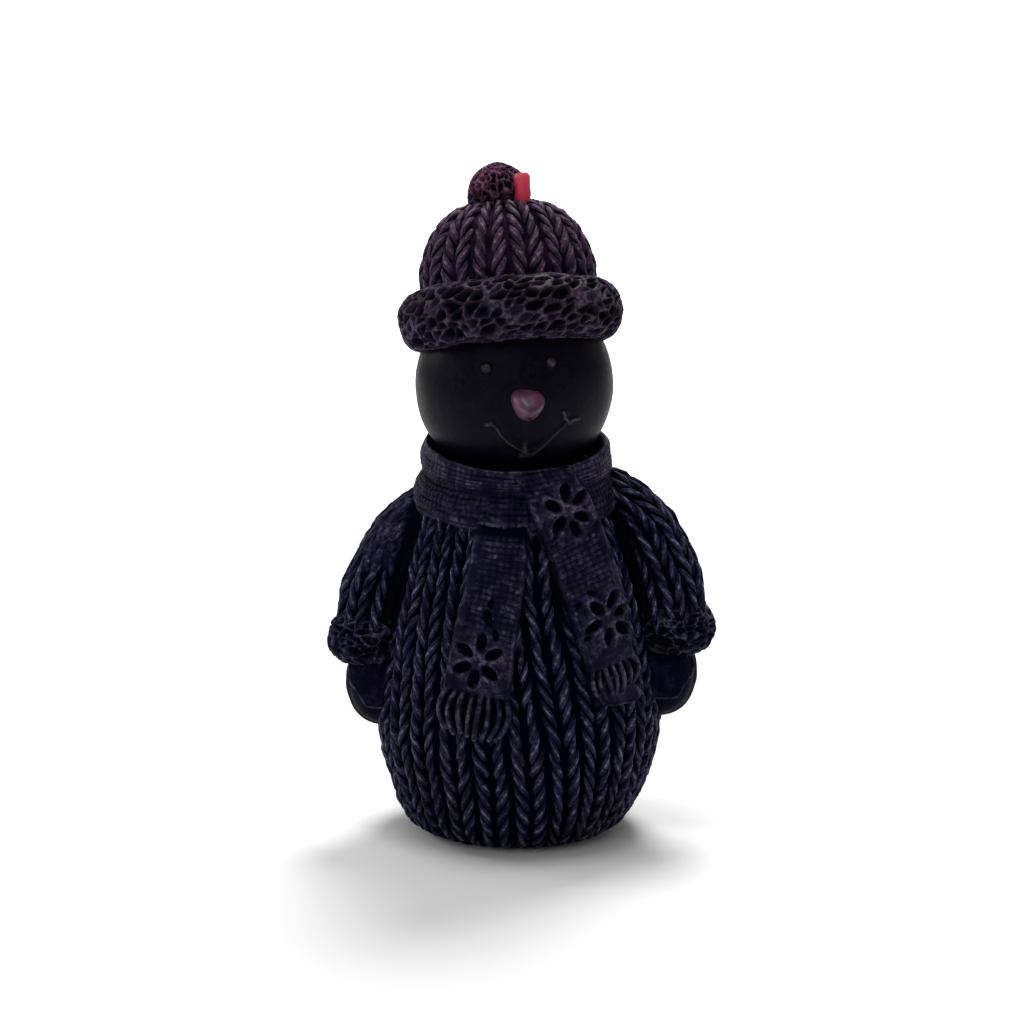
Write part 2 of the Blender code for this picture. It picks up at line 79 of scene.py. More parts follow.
def smoothStep(low, high, x):
    f = np.clip((x - low) / (high - low), 0.0, 1.0)
    return f * f * (3 - 2 * f)


def circle(count):
    return np.linspace(0, 2 * np.pi, count, endpoint=False)


def bell(x):
    return np.exp(-x ** 2)


# points at a reach from an upright axis, turned by angle from the front
def turnedPoint(reach, angle, height, flatten=1.0):
    return np.stack((reach * np.sin(angle), -reach * flatten * np.cos(angle),
                     height + 0 * angle), -1)


# points of a flat pattern
def flatPoint(x, y):
    return np.stack((x, y, 0 * y), -1)


# from one edge of a cloth to the other on its face, then back behind it
def thereAndBack(face, back):
    return np.concatenate((np.linspace(-1, 1, face), np.linspace(1, -1, back)))[None, :]


# rings round a line, each as deep as halfDeep towards out and as wide as halfWide
def tubeRows(line, out, angle, halfWide, halfDeep):
    tangent = unit(np.gradient(line, axis=0))
    wide = unit(np.cross(tangent, out))
    deep = np.cross(wide, tangent)
    return (line[:, None] + wide[:, None] * (halfWide * np.cos(angle))[..., None]
            + deep[:, None] * (halfDeep * np.sin(angle))[..., None])


def moveBy(matrix, points):
    m = np.array(matrix)
    return points @ m[:3, :3].T + m[:3, 3]


# smooth noise from -1 to 1, one value for each point
def noiseField(points, size, seed=0.0):
    flat = (np.asarray(points).reshape(-1, 3) / size + seed).tolist()
    values = np.array([noise.noise(p) for p in flat])
    return values.reshape(np.asarray(points).shape[:-1])


# meshes

def stepAlong(rows, axis, closed):
    rows = np.moveaxis(rows, axis, 0)
    change = np.roll(rows, -1, 0) - np.roll(rows, 1, 0)
    if not closed:
        change[0], change[-1] = rows[1] - rows[0], rows[-1] - rows[-2]
    return np.moveaxis(change, 0, axis)


def pushOut(rows, height, rowsClosed=False):
    normals = unit(np.cross(stepAlong(rows, 1, True), stepAlong(rows, 0, rowsClosed)))
    if np.sum(normals * (rows - rows.mean(1, keepdims=True))) < 0:
        normals = -normals
    return rows + normals * height[..., None]


# closed mesh through rows of points, each row a loop; crest is 1 on what stands
# proud and 0 in a hollow
def loftMesh(rows, crest=None, rowsClosed=False):
    count, width = rows.shape[:2]
    index = np.arange(count * width).reshape(count, width)
    right = np.roll(index, -1, 1)
    if rowsClosed:
        below, belowRight = np.roll(index, -1, 0), np.roll(right, -1, 0)
        quads = np.stack((index, right, belowRight, below), -1)
    else:
        quads = np.stack((index[:-1], right[:-1], right[1:], index[1:]), -1)
    quads = quads.reshape(-1, 4)
    points = rows.reshape(-1, 3)
    faces = quads.tolist()
    if not rowsClosed:
        points = np.vstack((points, rows[0].mean(0), rows[-1].mean(0)))
        top, end = count * width, count * width + 1
        faces += [(a, top, b) for a, b in zip(right[0].tolist(), index[0].tolist())]
        faces += [(a, end, b) for a, b in zip(index[-1].tolist(), right[-1].tolist())]
    p0, p1, p2, p3 = (points[quads[:, k]] for k in range(4))
    volume = np.sum(p0 * np.cross(p1, p2)) + np.sum(p0 * np.cross(p2, p3))
    mesh = bpy.data.meshes.new("loft")
    mesh.from_pydata(((points + bodyAxis) * mm).tolist(), [], faces)
    if volume < 0:
        mesh.flip_normals()
    values = np.zeros(len(points))
    if crest is not None:
        values[:count * width] = crest.reshape(-1)
    layer = mesh.attributes.new("crest", "FLOAT", "POINT")
    layer.data.foreach_set("value", values)
    mesh.shade_smooth()
    return mesh


def addObject(name, data):
    made = bpy.data.objects.new(name, data)
    bpy.context.scene.collection.objects.link(made)
    return made


def addPiece(name, mesh, material, node="wax_figure", slot="dark_wax"):
    mesh.name = name
    if material is not None:
        mesh.materials.clear()
        mesh.materials.append(material)
    piece = addObject(name, mesh)
    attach(piece, "root")
    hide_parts(node)
    return piece


def addLoft(name, rows, material, crest=None, rowsClosed=False, **place):
    return addPiece(name, loftMesh(rows, crest, rowsClosed), material, **place)


# materials

# links each input to the socket given for it, or sets it to the value
def feed(tree, node, given):
    for label, value in given.items():
        socket = node.inputs[label]
        if isinstance(value, bpy.types.NodeSocket):
            tree.links.new(value, socket)
        else:
            socket.default_value = (*value, 1.0) if socket.type == "RGBA" else value


def addNode(tree, kind, given=None, **settings):
    node = tree.nodes.new(kind)
    for key, value in settings.items():
        setattr(node, key, value)
    feed(tree, node, given or {})
    return node


def newMaterial(name):
    material = bpy.data.materials.new(name)
    material.use_nodes = True
    tree = material.node_tree
    return material, tree, tree.nodes["Principled BSDF"]


def objectPlace(tree):
    return addNode(tree, "ShaderNodeTexCoord").outputs["Object"]


def heightOf(tree, place):
    return addNode(tree, "ShaderNodeSeparateXYZ", {0: place}).outputs["Z"]


def mixColors(tree, factor, first, second):
    given = {"Factor": factor, "A": first, "B": second}
    return addNode(tree, "ShaderNodeMix", given, data_type="RGBA").outputs["Result"]


def remap(tree, value, low, high, outLow=0.0, outHigh=1.0, curve="SMOOTHSTEP"):
    given = {"Value": value, "From Min": low, "From Max": high, "To Min": outLow, "To Max": outHigh}
    return addNode(tree, "ShaderNodeMapRange", given, clamp=True,
                   interpolation_type=curve).outputs["Result"]


# stops are (position, colour), in order
def rampColors(tree, value, stops):
    ramp = addNode(tree, "ShaderNodeValToRGB", {0: value})
    bar = ramp.color_ramp.elements
    for at, color in stops[1:-1]:
        bar.new(at).color = (*color, 1.0)
    for stop, (at, color) in ((bar[0], stops[0]), (bar[-1], stops[-1])):
        stop.position, stop.color = at, (*color, 1.0)
    return ramp.outputs[0]


def noiseNode(tree, place, scale, detail, roughness=0.5):
    given = {"Vector": place, "Scale": scale, "Detail": detail, "Roughness": roughness}
    return addNode(tree, "ShaderNodeTexNoise", given).outputs["Fac"]


def combine(tree, kind, first, second):
    return addNode(tree, "ShaderNodeMath", {0: first, 1: second}, operation=kind,
                   use_clamp=True).outputs[0]


def bumpNormal(tree, height, strength, depth):
    given = {"Height": height, "Strength": strength, "Distance": depth * mm}
    return addNode(tree, "ShaderNodeBump", given).outputs["Normal"]


waxLook = {
    "hollow": (0.0001, 0.0002, 0.0060),    # deep in the grooves, a painted shade
    "violet": (0.0024, 0.0027, 0.0250),    # sides of the stitches, low down
    "plum": (0.0200, 0.0080, 0.0220),      # and on the hat
    "plumHeights": (0.060, 0.110), "plumShare": 0.88, "cloudShare": 0.22,
    "bloomAndHighlightLow": (0.143, 0.153, 0.228),     # bloom and painted highlight on what stands proud
    "bloomAndHighlightHigh": (0.215, 0.110, 0.180),
    "cloudScale": 95.0, "patchScale": 420.0, "fleckScale": 1500.0,
    "specular": 0.08, "sheenTint": (0.78, 0.76, 1.0), "ior": 1.44,
    "grainStrength": 0.7, "grainDepth": 0.16, "hollowRoughness": 0.95,
}


# crest lines carry the bloom, which is also a painted highlight, haze is the thinner
# film and painted sheen beside them and mottle how dark the patches are that have lost it;
# hollow and crestEdge are where on the crest attribute the painted black shade ends and the bloom
# begins
def darkWax(name, bloomAndHighlight=1.0, hazeAndSheen=0.14, mottle=0.2, roughness=(0.42, 0.62), hollow=(0.05, 0.5),
            crestEdge=(0.78, 1.0), grain=1.0, shade=1.0, specular=None, bloomAndHighlightHigh=None,
            rosy=0.0, broken=0.2):
    look = waxLook
    material, tree, shader = newMaterial(name)
    place = objectPlace(tree)
    # plum towards the top and violet below, with cloudy changes between
    cloud = noiseNode(tree, place, look["cloudScale"], 3.0)
    share = combine(tree, "ADD",
                    remap(tree, heightOf(tree, place), *look["plumHeights"], 0.0, look["plumShare"]),
                    remap(tree, cloud, 0.3, 0.7, rosy, rosy + look["cloudShare"]))
    base = mixColors(tree, share, tuple(shade * c for c in look["violet"]),
                     tuple(shade * c for c in look["plum"]))
    bloomAndHighlightColor = mixColors(tree, share, look["bloomAndHighlightLow"], bloomAndHighlightHigh or look["bloomAndHighlightHigh"])
    # painted shade, black in the hollows; on the crests a bloom and painted highlight that fine noise
    # breaks up
    crest = addNode(tree, "ShaderNodeAttribute", attribute_name="crest").outputs["Fac"]
    fleck = noiseNode(tree, place, look["fleckScale"], 4.0, 0.65)
    even = remap(tree, noiseNode(tree, place, look["patchScale"], 3.0), 0.38, 0.62, mottle, 1.0)
    raised = combine(tree, "MULTIPLY", remap(tree, crest, *hollow),
                     remap(tree, even, 0.0, 1.0, 0.35, 1.0))
    base = mixColors(tree, raised, look["hollow"], base)
    line = combine(tree, "MULTIPLY", remap(tree, crest, *crestEdge, 0.0, bloomAndHighlight),
                   remap(tree, fleck, 0.42, 0.60, broken, 1.0))
    hazeAndSheenMask = combine(tree, "MULTIPLY", raised,
                   remap(tree, fleck, 0.4, 0.6, 0.1 * hazeAndSheen, 1.25 * hazeAndSheen))
    lift = combine(tree, "MULTIPLY", combine(tree, "MAXIMUM", line, hazeAndSheenMask), even)
    dull = remap(tree, crest, *hollow, look["hollowRoughness"], 0.0)
    feed(tree, shader, {
        "Base Color": mixColors(tree, lift, base, bloomAndHighlightColor),
        "Roughness": combine(tree, "MAXIMUM", dull, remap(tree, fleck, 0.3, 0.7, *roughness)),
        "Normal": bumpNormal(tree, fleck, look["grainStrength"] * grain, look["grainDepth"]),
        "Specular IOR Level": specular or look["specular"], "Specular Tint": look["sheenTint"],
        "IOR": look["ior"]})
    return material


knitWax = darkWax("knit wax")
crownWax = darkWax("crown wax", hazeAndSheen=0.15, mottle=0.5, shade=1.2)
# the groove wax has no crest, so all of it takes the black hollow colour: painted shade
coreWax = darkWax("groove wax", bloomAndHighlight=0.0, hazeAndSheen=0.0, hollow=(0.6, 3.0), roughness=(0.6, 0.75),
                  specular=0.03)
crownCoreWax = darkWax("crown groove wax", bloomAndHighlight=0.0, hazeAndSheen=0.03, hollow=(-1.0, -0.5), shade=0.55,
                       roughness=(0.6, 0.75), specular=0.03)
wornWax = darkWax("worn wax", bloomAndHighlight=0.35, hazeAndSheen=0.13, mottle=0.1, hollow=(0.15, 0.7),
                  crestEdge=(0.55, 1.0))
satinWax = darkWax("satin wax", bloomAndHighlight=0.6, broken=0.45, hazeAndSheen=0.010, mottle=0.5, shade=0.14,
                   grain=0.12, roughness=(0.42, 0.52), hollow=(-1.0, -0.5), crestEdge=(0.15, 0.8))
mittenWax = darkWax("mitten wax", bloomAndHighlight=0.45, broken=0.6, hazeAndSheen=0.03, shade=0.3, specular=0.04,
                    grain=0.35, roughness=(0.6, 0.72), hollow=(-1.0, -0.5), crestEdge=(0.3, 1.0))
boucleWax = darkWax("boucle wax", bloomAndHighlight=0.42, broken=0.25, hazeAndSheen=0.05, mottle=0.5, shade=0.55,
                    hollow=(0.2, 0.9), crestEdge=(0.80, 1.0))
pompomWax = darkWax("pompom wax", bloomAndHighlight=0.8, hazeAndSheen=0.12, mottle=0.6, hollow=(0.1, 0.8),
                    crestEdge=(0.55, 1.0), bloomAndHighlightHigh=(0.250, 0.082, 0.150))
scarfWax = darkWax("scarf wax", bloomAndHighlight=0.5, hazeAndSheen=0.12, mottle=0.10, shade=0.7, rosy=0.13,
                   hollow=(0.05, 0.6), crestEdge=(0.45, 1.0))


# knitting: stitches placed along ribs by Geometry Nodes

stitchShape = {
    "radius": 0.62,     # of the rib's middle line, which a stitch winds over
    "turn": 1.95,       # how far round the rib it goes each way
    "reach": 3.1,       # half its length along the rib
    "width": 0.62, "thickness": 0.45,   # half sizes of its section
    "taper": 0.16,      # thicker at its lower end, where it comes up from under the next
    "ridge": 1.7,       # above 1 its back is a narrow ridge
    "stations": 9, "sides": 8,
}


# one strand wound over its rib; side is +1 for a stitch rising to the right, -1 to the left
def stitchObject(name, side):
    s = stitchShape
    bm = bmesh.new()
    crestLayer = bm.verts.layers.float.new("crest")
    rings = []
    for k in range(s["stations"] + 1):
        t = -1 + 2 * k / s["stations"]
        turn = s["turn"] * t
        out = Vector((side * math.sin(turn), 0.0, math.cos(turn)))
        centre = out * s["radius"] + Vector((0.0, s["reach"] * t, 0.0))
        slope = Vector((side * s["radius"] * s["turn"] * math.cos(turn), s["reach"],
                        -s["radius"] * s["turn"] * math.sin(turn))).normalized()
        wide = slope.cross(out).normalized()
        if abs(t) == 1:
            rings.append([bm.verts.new(centre)])
            continue
        fill = (1 - abs(t) ** 4) ** 0.5
        swell = 1.0 - s["taper"] * t
        ring = []
        for j in range(s["sides"]):
            angle = 2 * math.pi * j / s["sides"]
            up = math.sin(angle)
            proud = math.copysign(abs(up) ** s["ridge"], up)
            vert = bm.verts.new(centre + wide * (s["width"] * fill * swell * math.cos(angle))
                                + out * (s["thickness"] * fill * swell * proud))
            vert[crestLayer] = max(up, 0.0) * (0.78 + 0.22 * math.cos(turn * 0.8))
            ring.append(vert)
        rings.append(ring)
    for low, high in zip(rings, rings[1:]):
        for j in range(s["sides"]):
            m = (j + 1) % s["sides"]
            if len(low) == 1:
                bm.faces.new((low[0], high[m], high[j]))
            elif len(high) == 1:
                bm.faces.new((low[j], low[m], high[0]))
            else:
                bm.faces.new((low[j], low[m], high[m], high[j]))
    bmesh.ops.recalc_face_normals(bm, faces=bm.faces)
    bm.transform(Matrix.Scale(mm, 4))
    mesh = bpy.data.meshes.new(name)
    bm.to_mesh(mesh)
    bm.free()
    mesh.shade_smooth()
    return bpy.data.objects.new(name, mesh)


# the knitting is laid flat, one line of stitches a rib, then wrapped on its form
def knitTree():
    tree = bpy.data.node_groups.new("stitches along ribs", "GeometryNodeTree")
    for label, kind in (("Ribs", "Geometry"), ("Pitch", "Float"), ("Uneven size", "Float"),
                        ("Uneven lean", "Float"), ("Seed", "Int"), ("Right stitch", "Object"),
                        ("Left stitch", "Object"), ("Wax", "Material")):
        tree.interface.new_socket(label, in_out="INPUT", socket_type="NodeSocket" + kind)
    tree.interface.new_socket("Stitches", in_out="OUTPUT", socket_type="NodeSocketGeometry")
    given = addNode(tree, "NodeGroupInput").outputs
    lines = addNode(tree, "GeometryNodeMeshToCurve", {"Mesh": given["Ribs"]})
    spaced = addNode(tree, "GeometryNodeResampleCurve",
                     {"Curve": lines.outputs[0], "Length": given["Pitch"]}, mode="LENGTH")

    def uneven(amount, shift, middle):
        seed = addNode(tree, "ShaderNodeMath", {0: given["Seed"], 1: shift}, operation="ADD")
        pick = addNode(tree, "FunctionNodeRandomValue", {2: -1.0, 3: 1.0, "Seed": seed.outputs[0]},
                       data_type="FLOAT")
        parts = {0: pick.outputs[1], 1: given[amount], 2: middle}
        return addNode(tree, "ShaderNodeMath", parts, operation="MULTIPLY_ADD").outputs[0]

    tilt = addNode(tree, "ShaderNodeCombineXYZ", {"Z": uneven("Uneven lean", 11, 0.0)})
    leaned = addNode(tree, "FunctionNodeEulerToRotation", {0: tilt.outputs[0]})
    size = addNode(tree, "ShaderNodeCombineXYZ",
                   {axis: uneven("Uneven size", 29 + k, 1.0) for k, axis in enumerate("XYZ")})
    side = addNode(tree, "GeometryNodeInputNamedAttribute", {"Name": "side"}, data_type="FLOAT")
    joined = addNode(tree, "GeometryNodeJoinGeometry")
    for label, test in (("Right stitch", "GREATER_THAN"), ("Left stitch", "LESS_THAN")):
        chosen = addNode(tree, "FunctionNodeCompare", {"A": side.outputs["Attribute"]},
                         data_type="FLOAT", operation=test)
        shape = addNode(tree, "GeometryNodeObjectInfo", {"Object": given[label]})
        copies = addNode(tree, "GeometryNodeInstanceOnPoints", {
            "Points": spaced.outputs[0], "Selection": chosen.outputs[0],
            "Instance": shape.outputs["Geometry"], "Rotation": leaned.outputs[0],
            "Scale": size.outputs[0]})
        tree.links.new(copies.outputs[0], joined.inputs[0])
    real = addNode(tree, "GeometryNodeRealizeInstances", {0: joined.outputs[0]})
    dressed = addNode(tree, "GeometryNodeSetMaterial",
                      {"Geometry": real.outputs[0], "Material": given["Wax"]})
    addNode(tree, "NodeGroupOutput", {0: dressed.outputs[0]})
    return tree


knitNodes = knitTree()
rightStitch = stitchObject("right stitch", 1)
leftStitch = stitchObject("left stitch", -1)


unevenYarn = {
    "lumps": ((0.20, 0.6, 4.0), (0.16, 1.9, 9.0)),      # height, size and seed of each
    "wander": 0.045, "wanderSize": 4.0,                 # of a rib, in shares of its spacing
    "shift": 0.35, "upperEnd": 0.6,                     # where the first and last stitch sit
}
wornKnit = {
    "flatten": 0.8, "fade": 0.7,        # share of relief and of paleness lost
    "level": 0.30, "rough": 0.26, "roughSize": 0.8, "flecks": 1.2, "fleckSize": 0.6,
    "fill": -0.62, "fillRough": 0.3,    # of the wax that fills the grooves
    # where it begins, up the sleeve and round it
    "upFrom": (0.42, 0.60), "tilt": 0.12, "roundFrom": (-0.1, 0.45), "turn": 0.55,
}


# the stitches of a piece while still flat: x across the ribs, y along them, z out
def flatStitches(name, knit, length, flip):
    reach = stitchShape["reach"]
    points, edges, side = [], [], []
    for column in range(knit["columns"]):
        x = column * knit["spacing"]
        shift = unevenYarn["shift"] * math.sin(column * 2.4)
        points += [(x, knit.get("start", 0.0) * length + reach + shift, 0.0),
                   (x, length - reach * unevenYarn["upperEnd"], 0.0)]
        edges.append((2 * column, 2 * column + 1))
        side += [flip if column % 2 == 0 else -flip] * 2
    mesh = bpy.data.meshes.new(name + " ribs")
    mesh.from_pydata((np.array(points) * mm).tolist(), edges, [])
    mesh.attributes.new("side", "FLOAT", "POINT").data.foreach_set("value", np.array(side, float))
    holder = addObject(name + " ribs", mesh)
    step = holder.modifiers.new("knit", "NODES")
    step.node_group = knitNodes
    values = {"Pitch": knit["pitch"] * mm, "Uneven size": knit["unevenSize"],
              "Uneven lean": knit["unevenLean"], "Seed": knit["seed"],
              "Right stitch": rightStitch, "Left stitch": leftStitch,
              "Wax": knit.get("wax", knitWax)}
    for item in knitNodes.interface.items_tree:
        if item.in_out == "INPUT" and item.name in values:
            step[item.identifier] = values[item.name]
    depsgraph = bpy.context.evaluated_depsgraph_get()
    made = bpy.data.meshes.new_from_object(holder.evaluated_get(depsgraph),
                                           preserve_all_data_layers=True, depsgraph=depsgraph)
    holder.modifiers.remove(step)
    bpy.data.objects.remove(holder)
    return made


# place(column, v, rise) is the form, v running from its lower edge to its upper
# one; knit holds the spacing of the ribs and the pitch of their stitches
def knitPiece(name, place, knit, length, flip=1, wear=None, gap=None):
    made = flatStitches(name, knit, length, flip)
    flat, crest = np.empty(len(made.vertices) * 3), np.empty(len(made.vertices))
    made.vertices.foreach_get("co", flat)
    made.attributes["crest"].data.foreach_get("value", crest)
    flat = flat.reshape(-1, 3) / mm
    middle = np.round(flat[:, 0] / knit["spacing"]) * knit["spacing"]
    flat[:, 0] = middle + (flat[:, 0] - middle) * knit.get("stout", 1.0)
    v, rise = flat[:, 1] / length, flat[:, 2]
    for height, size, seed in unevenYarn["lumps"]:
        rise = rise + height * noiseField(flat, size, seed)
    rise *= smoothStep(-0.01, 0.03, v)      # low relief at the very edge
    if wear:
        w, worn = wornKnit, wear(flat[:, 0] / knit["spacing"], v)
        lumps = w["level"] + w["rough"] * noiseField(flat, w["roughSize"], 2.0)
        flecks = 0.3 + w["flecks"] * noiseField(flat, w["fleckSize"], 5.0)
        rise = rise * (1 - w["flatten"] * worn) + worn * lumps
        crest = crest * (1 - w["fade"] * worn) + worn * np.clip(flecks, 0, 1)
    column = (flat[:, 0] / knit["spacing"]
              + unevenYarn["wander"] * noiseField(flat, unevenYarn["wanderSize"], 6.0))
    wrapped = place(column, v, rise - knit["seat"])
    if gap:
        near = gap(wrapped)
        # crest is cut to 0 near the gap: painted shade there
        crest = crest * (1 - near)
        wrapped = place(column, v, rise - knit["seat"] - near * armGap["depth"])
    made.attributes["crest"].data.foreach_set("value", crest)
    made.vertices.foreach_set("co", ((wrapped + bodyAxis) * mm).reshape(-1))
    made.shade_smooth()
    made.update()
    return addPiece(name, made, None)


# the form under the stitches: a low ridge under each rib, and grooves between them
def ribbedBase(name, place, knit, rows, wax=coreWax, wear=None, gap=None, perColumn=8):
    columns = knit["columns"]
    columnGrid, vGrid = np.meshgrid(
        np.linspace(0.0, columns, columns * perColumn, endpoint=False), np.linspace(0.0, 1.0, rows))
    wave = (0.5 + 0.5 * np.cos(2 * np.pi * columnGrid)) ** 1.2
    height, worn = knit["ridge"] * wave - knit["groove"], np.zeros(wave.shape)
    if wear:    # rough wax that fills the grooves
        flat = flatPoint(columnGrid * knit["spacing"], vGrid * 28.0)
        worn = wear(columnGrid, vGrid) * (0.75 + 0.6 * noiseField(flat, 1.2, 3.0))
        worn = np.clip(worn, 0.0, 1.0)
        fill = wornKnit["fillRough"] * noiseField(flat, 0.9, 7.0) + wornKnit["fill"]
        height = height * (1 - worn) + worn * fill
    points = place(columnGrid, vGrid, height)
    if gap:
        near = gap(points)
        points = place(columnGrid, vGrid, height - near * armGap["depth"])
        # the worn crest is cut near the gap too: painted shade there
        worn = worn * (1 - near)
    return addLoft(name, points, wax, worn)


# point on a turned surface, lifted along its normal by rise
def turned(line, v, rise, angle, flatten=1.0):
    here = readLine(line, v)
    run = unit(readLine(line, v + 0.01) - readLine(line, v - 0.01))
    radius = here[..., 0] + run[..., 1] * rise
    height = here[..., 1] - run[..., 0] * rise * np.clip(4 * v, 0.0, 1.0)
    return turnedPoint(radius, angle, height, flatten)


def lineLength(line):
    return float(np.linalg.norm(np.diff(line, axis=0), axis=1).sum())


knitting = {"pitch": 2.9, "groove": 1.85, "ridge": 1.0}
body = {
    **knitting,
    "profile": ((13.5, 0), (18.3, 2.2), (21.6, 8.5), (23.8, 18.5), (22.9, 31),
                (20, 44), (16.6, 55), (12, 59)),
    "flatten": 0.94,
    "columns": 48, "first": -38.3,       # degrees of a / rib
    # ribs in front fan out downwards: degrees at a height of 10, and how they fall off above
    "fanCentre": 14.0, "fanWidth": 26.0, "fanTurn": 2.8, "fanChange": 0.35, "fanTop": 42,
    # the lower body stands a little to the right
    "lean": 0.45, "leanFrom": (2.0, 10.0), "leanTo": (24.0, 40.0),
    "spacing": 3.0, "seat": 1.12, "unevenSize": 0.12, "unevenLean": 0.14, "seed": 3,
}
bodyLine = smoothPath(body["profile"], 60)


def bodyPlace(column, v, rise):
    regular = body["first"] + 360.0 / body["columns"] * column
    off = (regular - body["fanCentre"] + 180.0) % 360.0 - 180.0
    height = readLine(bodyLine, v)[..., 1]
    fan = bell(off / body["fanWidth"]) * (
        body["fanTurn"] - body["fanChange"] * (np.minimum(height, body["fanTop"]) - 10))
    points = turned(bodyLine, v, rise, np.radians(regular + fan), body["flatten"])
    points[..., 0] += (body["lean"] * smoothStep(*body["leanFrom"], height)
                       * (1 - smoothStep(*body["leanTo"], height)))
    return points


sleeve = {
    **knitting,
    "path": ((13, 0, 56.6), (19, 0, 51.1), (23.5, -0.4, 42.6), (25.8, -1.3, 32)),
    "radii": (5, 6.6, 7, 6.5),
    "mirrorX": 0.9, "lift": 0.8,         # right arm higher, left arm lower
    "columns": 16, "spacing": 2.65, "seat": 1.15, "unevenSize": 0.11, "unevenLean": 0.15, "seed": 8,
}
sleeveLine = smoothPath(sleeve["path"], 24)
sleeveRadii = np.array(sleeve["radii"], float)


def mirrored(points, side):
    moved = np.array(points, float)
    moved[..., 0] = sleeve["mirrorX"] + (moved[..., 0] - sleeve["mirrorX"]) * side
    moved[..., 2] += sleeve["lift"] * side
    return moved


# the gap where an arm lies against the body: both sides sink into it, and its crest is cut to 0 there,
# a painted shade
armGap = {"depth": 1.1, "from": 0.4, "to": 1.6}


def nearBody(points):
    radius = np.interp(points[..., 2], bodyLine[:, 1], bodyLine[:, 0])
    away = np.hypot(points[..., 0], points[..., 1] / body["flatten"]) - radius
    return 1 - smoothStep(armGap["from"], armGap["to"], away)


def nearArm(points):
    away = np.full(points.shape[:-1], 1e9)
    for side in (1, -1):
        for middle, radius in zip(mirrored(sleeveLine, side), np.interp(
                np.linspace(0, 3, len(sleeveLine)), np.arange(4), sleeveRadii)):
            away = np.minimum(away, np.linalg.norm(points - middle, axis=-1) - radius)
    return (1 - smoothStep(armGap["from"], armGap["to"], away)) * (points[..., 1] < 0)


def sleevePlace(side):
    def place(column, v, rise):
        t = 1.0 - v
        centre = readLine(sleeveLine, t)
        run = unit(readLine(sleeveLine, t + 0.05) - readLine(sleeveLine, t - 0.05))
        across = np.array((0.0, 1.0, 0.0))
        outward = unit(np.cross(across, run))
        radius = (readLine(sleeveRadii, t) + rise)[..., None]
        angle = (2 * np.pi * column / sleeve["columns"])[..., None]
        point = centre + radius * (outward * np.cos(angle) + across * np.sin(angle))
        return mirrored(point, side)
    return place


# the outer front of the left shoulder has lost its crispness
def shoulderWear(column, v):
    turn = 2 * np.pi * column / sleeve["columns"]
    return (smoothStep(*wornKnit["upFrom"], v - wornKnit["tilt"] * np.cos(turn))
            * smoothStep(*wornKnit["roundFrom"], -np.cos(turn - wornKnit["turn"])))


print("body")
ribbedBase("body_core", bodyPlace, body, 60, gap=nearArm)
knitPiece("body_stitches", bodyPlace, body, lineLength(bodyLine), gap=nearArm)
print("sleeves")
sides = ((1, "right"), (-1, "left"))
for side, tag in sides:
    place = sleevePlace(side)
    wear = shoulderWear if side < 0 else None
    ribbedBase("sleeve_core_" + tag, place, sleeve, 70, wornWax, wear, nearBody)
    knitPiece("sleeve_stitches_" + tag, place, sleeve, lineLength(sleeveLine), side, wear, nearBody)


# looped yarn of the brim, the cuffs and the pompom

loopSeed = 4


# network of soft ridges round pits: 1 on a ridge, 0 in a pit; used as crest, it paints the pits black
# as shade
def boucleRelief(points, seed, warp=0.3, edge=0.36):
    noise.seed_set(loopSeed)    # otherwise the bending of the cells changes with the clock
    flat = points.reshape(-1, 3)
    values = np.empty(len(flat))
    for i, p in enumerate(flat.tolist()):
        q = Vector(p) + Vector((seed, seed * 0.7, -seed))
        q += noise.noise_vector(q * 0.8) * warp
        near, _ = noise.voronoi(q)
        values[i] = near[1] - near[0]
    ridge = 1.0 - smoothStep(0.0, edge, values)
    return ridge.reshape(points.shape[:-1])


hat = {
    "pivot": (-0.9, 0.0, 85.5), "roll": 4.0, "tip": 9.0,
    "profile": ((13, -3), (14.6, 6), (13.3, 11.5), (11.2, 15.2), (7.8, 17.7), (3.4, 18.8)),
    "columns": 28, "first": -4.5, "start": 0.1,
    "spacing": 3.1, "pitch": 2.8, "groove": 1.5, "ridge": 1.0, "seat": 1.15,
    "unevenSize": 0.08, "unevenLean": 0.1, "seed": 5, "stout": 1.25, "wax": crownWax,
}
hatTurn = (Matrix.Translation(hat["pivot"])
           @ Matrix.Rotation(math.radians(hat["roll"]), 4, "Y").inverted()
           @ Matrix.Rotation(-math.radians(hat["tip"]), 4, "X"))


print("hat")
crownLine = smoothPath(hat["profile"], 60)


def crownPlace(column, v, rise):
    angle = np.radians(hat["first"] + 360.0 / hat["columns"] * column)
    return moveBy(hatTurn, turned(crownLine, v, rise, angle))


ribbedBase("crown_core", crownPlace, hat, 36, crownCoreWax)
knitPiece("crown_stitches", crownPlace, hat, lineLength(crownLine))


brim = {
    "radius": 14.3, "halfWidth": 3.9, "halfHeight": 4.9, "around": 400, "section": 120,
    "pitLength": 2.5, "pitWidth": 1.65, "pitDepth": 1.5, "bend": 0.3, "edge": 0.56,
    "slant": 0.55, "slantChange": 0.45, "lumps": 0.3, "lumpSize": 3.5,
}


def rollRows(radius, halfWidth, halfHeight, around, section):
    angle, turn = circle(around)[:, None], circle(section)[None, :]
    return turnedPoint(radius + halfWidth * np.cos(turn), angle, halfHeight * np.sin(turn))


